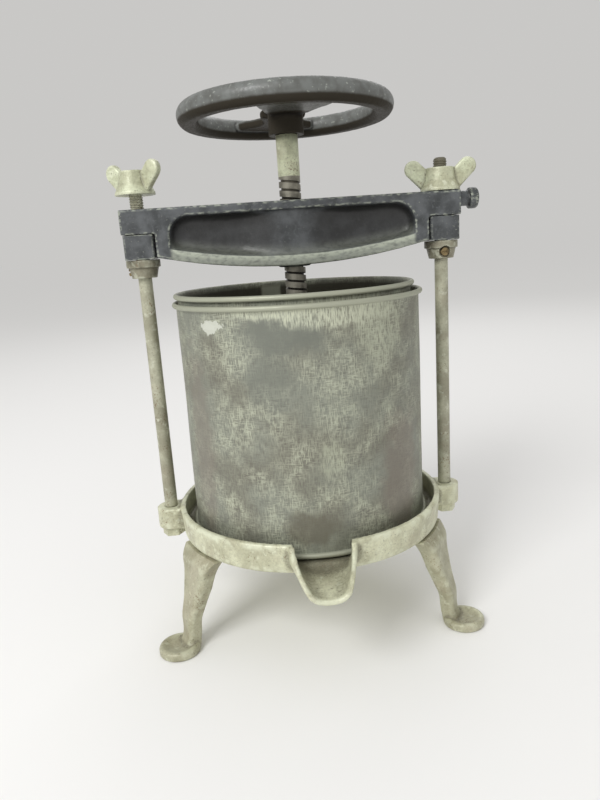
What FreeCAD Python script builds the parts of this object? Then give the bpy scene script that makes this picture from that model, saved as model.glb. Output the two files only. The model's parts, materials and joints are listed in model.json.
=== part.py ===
import FreeCAD, Part
import Sketcher
import math
import os

# Screw press for fruit: a drip tray on three legs carries a tin sleeve with a basket in it,
# two rods carry a crossbar, and a handwheel drives the screw and its follower down the basket.
# Millimetres. +Z is up, the floor is Z = 0 and the screw runs along the Z axis.
# The spout points to -Y and the rods stand at -X and +X.

SIZES = {
    # Fits
    "fit_gap": 0.05,
    "running_gap": 0.08,
    "seat_gap": 0.1,
    # Drip tray casting
    "tray_underside": 58.0,
    "tray_floor": 4.0,
    "tray_wall": 3.4,
    "tray_height": 17.2,
    "tray_margin": 4.5,
    "tray_draft": 1.0,
    "tray_edge_round": 2.6,
    "tray_cove_round": 2.0,
    "rib_height": 1.2,
    "rib_width": 5.0,
    "rib_inner_radius": 36.0,
    "rib_count": 6,
    # Pouring spout
    "spout_mouth_width": 38.0,
    "spout_tip_width": 25.0,
    "spout_wall": 2.8,
    "spout_reach": 26.5,
    "spout_root": 3.0,
    "spout_mouth_drop": 1.4,
    "spout_tip_drop": 3.0,
    "spout_mouth_round": 13.0,
    "spout_tip_round": 10.5,
    "spout_tip_lip": 5.0,
    # Lugs that hold the rods
    "rod_offset": 6.5,
    "lug_width": 18.0,
    "lug_height": 13.6,
    "lug_below_rim": 2.2,
    # Legs
    "leg_top_width": 40.0,
    "leg_top_depth": 14.0,
    "leg_top_inset": 5.4,
    "leg_neck_width": 26.0,
    "leg_neck_depth": 11.0,
    "leg_neck_out": 2.1,
    "leg_neck_drop": 11.0,
    "leg_shin_width": 15.5,
    "leg_shin_depth": 10.0,
    "leg_shin_out": 6.1,
    "leg_shin_drop": 26.5,
    "leg_ankle_width": 12.0,
    "leg_ankle_depth": 9.0,
    "leg_ankle_out": 12.5,
    "leg_ankle_height": 13.0,
    "leg_sole_width": 13.0,
    "leg_sole_depth": 10.0,
    "leg_sole_out": 15.9,
    "leg_sole_height": 2.0,
    "leg_corner_round": 3.2,
    "foot_out": 22.9,
    "foot_radius": 12.2,
    "foot_height": 5.2,
    "foot_dish": 2.0,
    "foot_rim": 2.6,
    "foot_edge_round": 2.0,
    # Leg screws
    "leg_screw_inset": 2.6,
    "leg_screw_radius": 2.0,
    "leg_screw_head_radius": 3.4,
    "leg_screw_head": 2.0,
    "leg_screw_length": 10.0,
    "slot_width": 1.0,
    "slot_depth": 0.9,
    # Rods
    "rod_radius": 4.0,
    "rod_thread_radius": 3.6,
    "rod_spigot_radius": 3.3,
    "rod_above_bar": 19.0,
    "rod_thread_drop": 1.0,
    "rod_tip_chamfer": 0.8,
    "rod_nut_width": 12.0,
    "rod_nut_height": 5.2,
    "rod_tail": 1.2,
    # Collars and their set screws
    "collar_radius": 10.0,
    "collar_band": 4.4,
    "collar_height": 10.6,
    "collar_step_radius": 8.8,
    "collar_foot_radius": 7.4,
    "set_screw_radius": 2.3,
    "set_screw_pocket_radius": 3.3,
    "set_screw_seat": 6.6,
    "set_screw_reach": 8.6,
    "set_screw_drop": 6.6,
    # Spacer blocks under the crossbar's ends
    "spacer_width": 17.6,
    "spacer_depth": 20.4,
    "spacer_height": 14.0,
    "spacer_round": 1.6,
    # Crossbar casting
    "bar_clearance": 11.1,
    "bar_ear_height": 14.0,
    "bar_depth": 22.0,
    "bar_end": 9.4,
    "bar_notch_gap": 0.9,
    "bar_collar_gap": 0.4,
    "bar_belly_drop": 9.4,
    "bar_web": 6.6,
    "bar_top_flange": 5.0,
    "bar_low_flange": 6.2,
    "bar_end_wall": 8.3,
    "bar_pocket_round": 11.0,
    "bar_pocket_draft": 14.0,
    "bar_swell": 9.7,
    "bar_swell_reach": 30.0,
    "bar_boss_wall": 3.0,
    "bar_boss_drop": 0.8,
    "bar_edge_round": 0.9,
    "knob_neck_radius": 4.5,
    "knob_neck": 7.4,
    "knob_radius": 6.2,
    "knob_length": 5.4,
    "knob_drop": 4.8,
    "knob_round": 1.8,
    # Press screw
    "screw_radius": 6.35,
    "screw_thread_above_bar": 12.8,
    "screw_shank": 23.0,
    "screw_square": 9.0,
    "screw_stud_radius": 4.0,
    "screw_tip_radius": 4.6,
    "screw_rivet_radius": 5.6,
    "screw_rivet_height": 1.4,
    "screw_rivet_lift": 1.2,
    # Handwheel
    "wheel_radius": 61.5,
    "wheel_rim_depth": 10.6,
    "wheel_rim_height": 11.6,
    "wheel_rim_hollow": 3.0,
    "wheel_rim_bulge": 3.6,
    "wheel_hub_radius": 10.2,
    "wheel_hub_height": 15.8,
    "wheel_hub_rise": 6.4,
    "wheel_spoke_count": 2,
    "wheel_spoke_root": 26.0,
    "wheel_spoke_waist": 37.0,
    "wheel_spoke_end": 58.0,
    "wheel_spoke_thickness": 5.0,
    "wheel_spoke_round": 1.8,
    "wheel_spoke_waist_at": 26.0,
    "wheel_spoke_bite": 1.2,
    "wheel_spoke_lift": 0.6,
    "wheel_turn": 276.0,
    "wheel_nut_width": 14.0,
    "wheel_nut_height": 6.0,
    # Follower and its washer
    "follower_lift": 14.1,
    "follower_gap": 1.0,
    "follower_plate": 5.0,
    "follower_rim": 9.0,
    "follower_rim_width": 4.0,
    "follower_hub_radius": 14.0,
    "follower_hub_height": 18.0,
    "follower_rib": 4.0,
    "follower_rib_count": 6,
    "follower_socket_depth": 8.0,
    "follower_recess_gap": 0.8,
    "washer_radius": 8.2,
    "washer_thickness": 1.8,
    # Tin sleeve and basket
    "tin_thickness": 0.7,
    "bead_radius": 1.5,
    "sleeve_radius": 72.3,
    "sleeve_height": 136.5,
    "seam_width": 12.5,
    "seam_thickness": 0.5,
    "sleeve_seam_turn": 90.0,
    "basket_gap": 2.2,
    "basket_lean_gap": 0.5,
    "basket_stand": 4.9,
    "basket_ledge": 6.0,
    "basket_seam_turn": 104.0,
    "strainer_thickness": 1.0,
    "strainer_hole_radius": 2.6,
    "strainer_pitch": 18.5,
    "strainer_rings": 3,
    # Wing nuts
    "wing_nut_radius": 11.6,
    "wing_nut_top_radius": 8.0,
    "wing_nut_flange": 1.4,
    "wing_nut_height": 13.4,
    "wing_nut_waist_radius": 9.3,
    "wing_nut_waist": 6.0,
    "wing_reach": 15.6,
    "wing_rise": 13.2,
    "wing_lobe_radius": 5.2,
    "wing_foot": 1.2,
    "wing_thickness": 4.6,
    "wing_round": 1.5,
    "wing_nut_left_lift": 8.0,
    "wing_nut_left_turn": -37.0,
    "wing_nut_right_turn": -12.0,
}


class Size:
    """A length or angle that knows its number and the sheet formula behind it."""

    def __init__(self, formula, number):
        self.formula = formula
        self.number = number

    def __add__(self, other):
        return Size(f"({self.formula} + {formula_of(other)})", self.number + number_of(other))

    def __sub__(self, other):
        return Size(f"({self.formula} - {formula_of(other)})", self.number - number_of(other))

    def __mul__(self, other):
        return Size(f"({self.formula} * {formula_of(other)})", self.number * number_of(other))

    def __truediv__(self, other):
        return Size(f"({self.formula} / {formula_of(other)})", self.number / number_of(other))

    def __neg__(self):
        return Size(f"(-{self.formula})", -self.number)


def formula_of(value):
    """The sheet formula of a Size, or a plain count as text."""
    return value.formula if isinstance(value, Size) else str(value)


def number_of(value):
    """The number of a Size, or a plain count."""
    return value.number if isinstance(value, Size) else value


def root(value):
    """The square root of a Size."""
    return Size(f"sqrt({value.formula})", math.sqrt(value.number))


class Sizes:
    """The driving dimensions, kept in the document's sheet and read by name."""

    def __init__(self, document, table):
        self.sheet = document.addObject("Spreadsheet::Sheet", "Sizes")
        for row, (alias, number) in enumerate(table.items(), start=1):
            self.sheet.set(f"A{row}", alias.replace("_", " "))
            self.sheet.set(f"B{row}", str(number))
            self.sheet.setAlias(f"B{row}", alias)
            setattr(self, alias, Size(f"Sizes.{alias}", number))


doc = FreeCAD.newDocument("screw_press")
S = Sizes(doc, SIZES)
doc.recompute()
ZERO = Size("0", 0.0)
parts = []


def new_body(node):
    """A body for one piece, which becomes the node of that name."""
    body = doc.addObject("PartDesign::Body", node)
    body.Label = node
    parts.append(body)
    return body


def place(piece, x=ZERO, y=ZERO, z=ZERO, turn=None):
    """Put a piece at x, y, z, turned about the vertical."""
    for axis, value in (("x", x), ("y", y), ("z", z)):
        piece.setExpression(f"Placement.Base.{axis}", value.formula)
    if turn is not None:
        piece.Placement.Rotation = FreeCAD.Rotation(FreeCAD.Vector(0, 0, 1), turn.number)
        piece.setExpression("Placement.Rotation.Angle", turn.formula)


def new_sketch(body, name, plane, offset=None):
    """A sketch on one of the body's own planes, moved along its normal by offset."""
    sketch = body.newObject("Sketcher::SketchObject", name)
    support = [f for f in body.Origin.OriginFeatures if f.Role == plane][0]
    sketch.AttachmentSupport = [(support, "")]
    sketch.MapMode = "FlatFace"
    if offset is not None:
        sketch.setExpression("AttachmentOffset.Base.z", offset.formula)
    return sketch


def bind(sketch, constraint, value):
    """Add a dimension to a sketch and tie it to the sheet."""
    index = sketch.addConstraint(constraint)
    sketch.setExpression(f"Constraints[{index}]", value.formula)


def pin_point(sketch, edge, end, x, y):
    """Hold one point of an edge at x, y of the sketch."""
    if x.formula == "0":
        sketch.addConstraint(Sketcher.Constraint("PointOnObject", edge, end, -2))
    else:
        bind(sketch, Sketcher.Constraint("DistanceX", -1, 1, edge, end, x.number), x)
    if y.formula == "0":
        sketch.addConstraint(Sketcher.Constraint("PointOnObject", edge, end, -1))
    else:
        bind(sketch, Sketcher.Constraint("DistanceY", -1, 1, edge, end, y.number), y)


def arc_between(start, end, radius, turn):
    """An arc under a half circle from start to end, turn +1 to the left or -1 to the right."""
    chord = end - start
    half = chord.Length / 2
    rise = math.sqrt(max(radius * radius - half * half, 0))
    side = FreeCAD.Vector(-chord.y, chord.x, 0) / chord.Length * turn
    centre = start + chord / 2 + side * rise
    first, last = (start, end) if turn > 0 else (end, start)
    angles = [math.atan2(p.y - centre.y, p.x - centre.x) for p in (first, last)]
    circle = Part.Circle(centre, FreeCAD.Vector(0, 0, 1), radius)
    return Part.ArcOfCircle(circle, angles[0], angles[1])


def draw_outline(sketch, steps):
    """Draw a closed outline. A step (x, y) ends a line, (x, y, radius, turn) ends an arc."""
    spots = [FreeCAD.Vector(step[0].number, step[1].number, 0) for step in steps]
    first = sketch.GeometryCount
    ends = []
    for index, step in enumerate(steps):
        start, end = spots[index - 1], spots[index]
        if len(step) == 2:
            sketch.addGeometry(Part.LineSegment(start, end), False)
            ends.append((1, 2))
        else:
            sketch.addGeometry(arc_between(start, end, step[2].number, step[3]), False)
            ends.append((1, 2) if step[3] > 0 else (2, 1))
    count = len(steps)
    for index in range(count):
        after = (index + 1) % count
        joint = Sketcher.Constraint(
            "Coincident", first + index, ends[index][1], first + after, ends[after][0]
        )
        sketch.addConstraint(joint)
    for index, step in enumerate(steps):
        pin_point(sketch, first + index, ends[index][1], step[0], step[1])
        if len(step) == 4:
            bind(sketch, Sketcher.Constraint("Radius", first + index, step[2].number), step[2])
    return sketch


def draw_circle(sketch, x, y, radius):
    """Draw a circle about x, y."""
    index = sketch.GeometryCount
    centre = FreeCAD.Vector(x.number, y.number, 0)
    sketch.addGeometry(Part.Circle(centre, FreeCAD.Vector(0, 0, 1), radius.number), False)
    pin_point(sketch, index, 3, x, y)
    bind(sketch, Sketcher.Constraint("Radius", index, radius.number), radius)
    return sketch


def rectangle(x0, y0, x1, y1):
    """The steps of an upright rectangle."""
    return [(x0, y0), (x1, y0), (x1, y1), (x0, y1)]


def rounded_rectangle(x, y, across, up, corner):
    """The steps of a rectangle about (x, y) with rounded corners."""
    left, right = x - across / 2, x + across / 2
    low, high = y - up / 2, y + up / 2
    return [
        (right - corner, low),
        (right, low + corner, corner, 1),
        (right, high - corner),
        (right - corner, high, corner, 1),
        (left + corner, high),
        (left, high - corner, corner, 1),
        (left, low + corner),
        (left + corner, low, corner, 1),
    ]


def revolve(body, name, sketch, axis="V_Axis"):
    """Turn a sketch a full circle about one of its own axes."""
    feature = body.newObject("PartDesign::Revolution", name)
    feature.Profile = sketch
    feature.ReferenceAxis = (sketch, [axis])
    feature.Angle = 360.0
    body.Tip = feature
    return feature


def turn_profile(body, name, steps):
    """Turn an outline in (radius, height) about the body's upright axis."""
    sketch = draw_outline(new_sketch(body, name + "_outline", "XZ_Plane"), steps)
    return revolve(body, name, sketch)


def extrude(body, name, sketch, length, side="One side", back=False, kind="Pad"):
    """Pad or pocket a sketch by a length."""
    feature = body.newObject("PartDesign::" + kind, name)
    feature.Profile = sketch
    feature.SideType = side
    feature.Reversed = back
    feature.setExpression("Length", length.formula)
    body.Tip = feature
    return feature


def loft(body, name, sketches, kind="AdditiveLoft"):
    """Loft through sketches in order."""
    feature = body.newObject("PartDesign::" + kind, name)
    feature.Profile = sketches[0]
    feature.Sections = sketches[1:]
    body.Tip = feature
    return feature


def repeat_round(body, name, features, count):
    """Repeat features evenly about the upright axis."""
    axis = [f for f in body.Origin.OriginFeatures if f.Role == "Z_Axis"][0]
    pattern = body.newObject("PartDesign::PolarPattern", name)
    pattern.Originals = features
    pattern.Axis = (axis, [""])
    pattern.Angle = 360.0
    pattern.setExpression("Occurrences", count.formula)
    body.Tip = pattern
    return pattern


def round_edges(body, name, radius, chosen):
    """Round the edges of the body's last shape that the test chooses."""
    doc.recompute()
    base = body.Tip
    names = [f"Edge{i}" for i, edge in enumerate(base.Shape.Edges, start=1) if chosen(edge)]
    feature = body.newObject("PartDesign::Fillet", name)
    feature.Base = (base, names)
    feature.setExpression("Radius", radius.formula)
    body.Tip = feature
    return feature


def on_faces(distance):
    """A test for the edges that lie in the two planes at a distance before and behind Y = 0."""
    def test(edge):
        return all(abs(abs(vertex.Y) - distance.number) < 1e-6 for vertex in edge.Vertexes) and (
            abs(edge.CenterOfMass.y) > distance.number - 1e-6
        )
    return test


# Heights and places that several pieces share
sleeve_inner = S.sleeve_radius - S.tin_thickness
basket_radius = sleeve_inner - S.basket_gap
basket_inner = basket_radius - S.tin_thickness
basket_shift = S.basket_gap - S.basket_lean_gap
tray_inner = sleeve_inner + S.bead_radius * 2 + S.tray_margin
tray_rim = tray_inner + S.tray_wall
tray_base = tray_rim - S.tray_draft
leg_top_centre = tray_base - S.leg_top_inset
leg_screw_centre = leg_top_centre - S.leg_screw_inset
rod_x = tray_rim + S.rod_offset
tray_top = S.tray_underside + S.tray_height
floor_top = S.tray_underside + S.tray_floor
rest_height = floor_top + S.rib_height
lug_top = tray_top - S.lug_below_rim
lug_bottom = lug_top - S.lug_height
sleeve_bead = rest_height + S.sleeve_height
basket_bead = sleeve_bead + S.basket_stand
strainer_low = rest_height + S.tin_thickness
strainer_top = strainer_low + S.strainer_thickness
boss_low = basket_bead + S.bead_radius + S.bar_clearance
belly_low = boss_low + S.bar_boss_drop
bar_end_low = belly_low + S.bar_belly_drop
bar_underside = bar_end_low + S.spacer_height - S.bar_collar_gap
bar_top = bar_underside + S.bar_ear_height
rod_top = bar_top + S.rod_above_bar
collar_top = bar_underside - S.spacer_height - S.seat_gap * 2
hub_bottom = bar_top + S.screw_thread_above_bar + S.screw_shank
wheel_middle = hub_bottom + S.wheel_rim_height / 2 + S.wheel_hub_rise
hub_top = hub_bottom + S.wheel_hub_height
follower_low = strainer_top + S.follower_lift
follower_hub_top = follower_low + S.follower_hub_height
rivet_top = follower_low + S.screw_rivet_lift + S.screw_rivet_height
recess_top = rivet_top + S.washer_thickness + S.seat_gap * 2
LEG_TURNS = {"left": 210.0, "right": 330.0, "back": 90.0}
SIDES = {"left": -1, "right": 1}


def spout_section(body, name, reach, half_width, top, bottom, corner):
    """An upright U across the spout, reach in front of the screw's axis."""
    sketch = new_sketch(body, name, "XZ_Plane", reach)
    steps = [
        (-half_width, top),
        (-half_width, bottom + corner),
        (-half_width + corner, bottom, corner, 1),
        (half_width - corner, bottom),
        (half_width, bottom + corner, corner, 1),
        (half_width, top),
    ]
    return draw_outline(sketch, steps)


def add_bowl(body):
    """The tray's round floor and wall, with ribs that the tinware stands on."""
    edge, cove = S.tray_edge_round, S.tray_cove_round
    steps = [
        (ZERO, S.tray_underside),
        (tray_base - edge, S.tray_underside),
        (tray_base, S.tray_underside + edge, edge, 1),
        (tray_rim, tray_top - edge / 2),
        (tray_rim - edge / 2, tray_top, edge / 2, 1),
        (tray_inner, tray_top),
        (tray_inner, floor_top + cove),
        (tray_inner - cove, floor_top, cove, -1),
        (ZERO, floor_top),
    ]
    turn_profile(body, "bowl", steps)
    rib = new_sketch(body, "rib_outline", "XY_Plane", floor_top)
    half_rib = S.rib_width / 2
    draw_outline(rib, rectangle(S.rib_inner_radius, -half_rib, tray_inner - cove, half_rib))
    first_rib = extrude(body, "rib", rib, S.rib_height)
    repeat_round(body, "ribs", [first_rib], S.rib_count)


def add_lugs(body):
    """Round-ended lugs on both sides, bored for the rods' lower ends."""
    half = S.lug_width / 2
    for side, sign in SIDES.items():
        lug = new_sketch(body, f"lug_{side}_outline", "XY_Plane", lug_bottom)
        centre = rod_x * sign
        start = (tray_rim - S.tray_wall / 2) * sign
        steps = [
            (start, -half),
            (centre, -half),
            (centre + half * sign, ZERO, half, sign),
            (centre, half, half, sign),
            (start, half),
        ]
        draw_outline(lug, steps)
        extrude(body, f"lug_{side}", lug, S.lug_height)
    bores = new_sketch(body, "rod_bores_outline", "XY_Plane", lug_top)
    for sign in SIDES.values():
        draw_circle(bores, rod_x * sign, ZERO, S.rod_spigot_radius + S.fit_gap)
    extrude(body, "rod_bores", bores, S.lug_height, kind="Pocket")


def add_spout(body):
    """The pouring spout: a tapering trough whose lip runs down from the rim to the tip."""
    wall, past = S.spout_wall, S.tray_wall
    root_reach = tray_rim - S.spout_root
    tip_reach = tray_rim + S.spout_reach
    mouth, tip = S.spout_mouth_width / 2, S.spout_tip_width / 2
    mouth_low = S.tray_underside - S.spout_mouth_drop
    tip_low = S.tray_underside - S.spout_tip_drop
    above = tray_top + past
    mouth_round, tip_round = S.spout_mouth_round, S.spout_tip_round
    outside = [
        spout_section(body, "spout_root", root_reach, mouth, tray_top, mouth_low, mouth_round),
        spout_section(body, "spout_end", tip_reach, tip, tray_top, tip_low, tip_round),
    ]
    loft(body, "spout", outside)
    low_root = floor_top - S.spout_mouth_drop
    low_tip = tip_low + wall
    mouth_round, tip_round = mouth_round - wall, tip_round - wall
    inside = [
        spout_section(
            body, "channel_root", root_reach - past, mouth - wall, above, low_root, mouth_round
        ),
        spout_section(
            body, "channel_end", tip_reach + past, tip - wall, above, low_tip, tip_round
        ),
    ]
    loft(body, "channel", inside, "SubtractiveLoft")
    lip = new_sketch(body, "lip_outline", "YZ_Plane")
    lip_low = tip_low + S.spout_tip_lip
    steps = [
        (-tip_reach - past, lip_low),
        (-tip_reach, lip_low),
        (-tray_rim, tray_top),
        (-tray_rim, above),
        (-tip_reach - past, above),
    ]
    draw_outline(lip, steps)
    extrude(body, "lip", lip, S.spout_mouth_width * 2, "Symmetric", kind="Pocket")


def add_leg_screw_bores(body):
    """Counterbored holes through the tray's floor, one over each leg."""
    holes = new_sketch(body, "leg_holes_outline", "XY_Plane", floor_top)
    seats = new_sketch(body, "leg_seats_outline", "XY_Plane", floor_top)
    for turn in LEG_TURNS.values():
        x = leg_screw_centre * math.cos(math.radians(turn))
        y = leg_screw_centre * math.sin(math.radians(turn))
        draw_circle(holes, x, y, S.leg_screw_radius + S.fit_gap)
        draw_circle(seats, x, y, S.leg_screw_head_radius + S.fit_gap)
    extrude(body, "leg_holes", holes, S.tray_floor, kind="Pocket")
    extrude(body, "leg_seats", seats, S.leg_screw_head + S.fit_gap, kind="Pocket")


def make_tray():
    """The drip tray casting."""
    body = new_body("drip_tray")
    add_bowl(body)
    add_lugs(body)
    add_spout(body)
    add_leg_screw_bores(body)


def make_leg(name, turn):
    """A leg that narrows from a wide top under the tray to an ankle and a dished foot."""
    body = new_body(f"leg_{name}")
    top = S.tray_underside
    sections = [
        ("top", top, ZERO, S.leg_top_depth, S.leg_top_width),
        ("neck", top - S.leg_neck_drop, S.leg_neck_out, S.leg_neck_depth, S.leg_neck_width),
        ("shin", top - S.leg_shin_drop, S.leg_shin_out, S.leg_shin_depth, S.leg_shin_width),
        ("ankle", S.leg_ankle_height, S.leg_ankle_out, S.leg_ankle_depth, S.leg_ankle_width),
        ("sole", S.leg_sole_height, S.leg_sole_out, S.leg_sole_depth, S.leg_sole_width),
    ]
    corner = S.leg_corner_round
    sketches = []
    for section, height, out, depth, width in sections:
        sketch = new_sketch(body, f"{section}_outline", "XY_Plane", height)
        draw_outline(sketch, rounded_rectangle(leg_top_centre + out, ZERO, depth, width, corner))
        sketches.append(sketch)
    loft(body, "shank", sketches)

    foot = new_sketch(body, "foot_outline", "XZ_Plane")
    foot.setExpression("AttachmentOffset.Base.x", (leg_top_centre + S.foot_out).formula)
    edge = S.foot_edge_round
    dish = S.foot_radius - S.foot_rim
    dish_low = S.foot_height - S.foot_dish
    dish_radius = (dish * dish + S.foot_dish * S.foot_dish) / (S.foot_dish * 2)
    steps = [
        (ZERO, ZERO),
        (S.foot_radius - edge / 2, ZERO),
        (S.foot_radius, edge / 2, edge / 2, 1),
        (S.foot_radius, S.foot_height - edge),
        (S.foot_radius - edge, S.foot_height, edge, 1),
        (dish, S.foot_height),
        (ZERO, dish_low, dish_radius, -1),
    ]
    revolve(body, "foot", draw_outline(foot, steps))

    hole = new_sketch(body, "screw_hole_outline", "XY_Plane", S.tray_underside)
    draw_circle(hole, leg_screw_centre, ZERO, S.leg_screw_radius + S.fit_gap)
    depth = S.leg_screw_length - S.tray_floor + S.seat_gap
    extrude(body, "screw_hole", hole, depth, kind="Pocket")
    place(body, turn=turn)


def make_leg_screw(name, turn):
    """A slotted screw that holds a leg to the tray's floor, its head sunk in the floor."""
    body = new_body(f"leg_screw_{name}")
    head_low = floor_top - S.leg_screw_head
    tip = floor_top - S.leg_screw_length
    steps = [
        (ZERO, tip),
        (S.leg_screw_radius, tip),
        (S.leg_screw_radius, head_low),
        (S.leg_screw_head_radius, head_low),
        (S.leg_screw_head_radius, floor_top),
        (ZERO, floor_top),
    ]
    turn_profile(body, "shank", steps)
    slot = new_sketch(body, "slot_outline", "XY_Plane", floor_top)
    reach, half = S.leg_screw_head_radius * 2, S.slot_width / 2
    draw_outline(slot, rectangle(-reach, -half, reach, half))
    extrude(body, "slot", slot, S.slot_depth, kind="Pocket")
    x = leg_screw_centre * math.cos(math.radians(turn.number))
    y = leg_screw_centre * math.sin(math.radians(turn.number))
    place(body, x, y)


def make_rod(side, sign):
    """An upright rod: a spigot through the lug, a plain length and a threaded top."""
    body = new_body(f"rod_{side}")
    tail = lug_bottom - S.seat_gap - S.rod_nut_height - S.rod_tail
    thread_low = bar_top - S.rod_thread_drop
    chamfer = S.rod_tip_chamfer
    shoulder = lug_top + S.seat_gap
    steps = [
        (ZERO, tail),
        (S.rod_spigot_radius - chamfer, tail),
        (S.rod_spigot_radius, tail + chamfer),
        (S.rod_spigot_radius, shoulder),
        (S.rod_radius, shoulder),
        (S.rod_radius, thread_low),
        (S.rod_thread_radius, thread_low),
        (S.rod_thread_radius, rod_top - chamfer),
        (S.rod_thread_radius - chamfer, rod_top),
        (ZERO, rod_top),
    ]
    turn_profile(body, "shaft", steps)
    place(body, rod_x * sign)


def make_hex_nut(node, width, height, bore, x, z):
    """A hexagon nut with its bore, its underside at z."""
    body = new_body(node)
    blank = new_sketch(body, "hexagon_outline", "XY_Plane")
    reach = width / math.sqrt(3)
    turns = [math.radians(60 * corner) for corner in range(6)]
    draw_outline(blank, [(reach * math.cos(t), reach * math.sin(t)) for t in turns])
    extrude(body, "hexagon", blank, height)
    hole = new_sketch(body, "bore_outline", "XY_Plane", height)
    extrude(body, "bore", draw_circle(hole, ZERO, ZERO, bore), height, kind="Pocket")
    place(body, x, ZERO, z)


def make_collar(side, sign, turn):
    """A collar fixed on the rod by a set screw, which carries the spacer and the crossbar."""
    body = new_body(f"collar_{side}")
    bore = S.rod_radius + S.fit_gap
    step = collar_top - S.collar_band
    low = collar_top - S.collar_height
    steps = [
        (bore, low),
        (S.collar_foot_radius, low),
        (S.collar_step_radius, step),
        (S.collar_radius, step),
        (S.collar_radius, collar_top),
        (bore, collar_top),
    ]
    turn_profile(body, "ring", steps)
    height = collar_top - S.set_screw_drop
    hole = new_sketch(body, "screw_hole_outline", "XZ_Plane")
    draw_circle(hole, ZERO, height, S.set_screw_radius + S.fit_gap)
    extrude(body, "screw_hole", hole, S.collar_radius, back=True, kind="Pocket")
    pocket = new_sketch(body, "screw_pocket_outline", "XZ_Plane", S.set_screw_seat)
    draw_circle(pocket, ZERO, height, S.set_screw_pocket_radius)
    extrude(body, "screw_pocket", pocket, S.collar_radius, back=True, kind="Pocket")
    place(body, rod_x * sign, turn=turn)


def make_set_screw(side, sign, turn):
    """The slotted set screw of a collar, which bears on the rod."""
    body = new_body(f"collar_screw_{side}")
    height = collar_top - S.set_screw_drop
    start = S.rod_radius + S.seat_gap
    length = S.set_screw_reach - start
    shank = new_sketch(body, "shank_outline", "XZ_Plane", start)
    draw_circle(shank, ZERO, height, S.set_screw_radius)
    extrude(body, "shank", shank, length)
    slot = new_sketch(body, "slot_outline", "XZ_Plane", S.set_screw_reach)
    reach, half = S.set_screw_radius * 2, S.slot_width / 2
    draw_outline(slot, rectangle(-reach, height - half, reach, height + half))
    extrude(body, "slot", slot, S.slot_depth, kind="Pocket")
    place(body, rod_x * sign, turn=turn)


def make_spacer(side, sign):
    """A block on the rod that fills the notch under the crossbar's end."""
    body = new_body(f"spacer_{side}")
    low = collar_top + S.seat_gap
    block = new_sketch(body, "block_outline", "XY_Plane", low)
    width, depth, corner = S.spacer_width, S.spacer_depth, S.spacer_round
    draw_outline(block, rounded_rectangle(ZERO, ZERO, width, depth, corner))
    extrude(body, "block", block, S.spacer_height)
    hole = new_sketch(body, "bore_outline", "XY_Plane", low + S.spacer_height)
    draw_circle(hole, ZERO, ZERO, S.rod_radius + S.fit_gap)
    extrude(body, "bore", hole, S.spacer_height, kind="Pocket")
    place(body, rod_x * sign)


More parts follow.
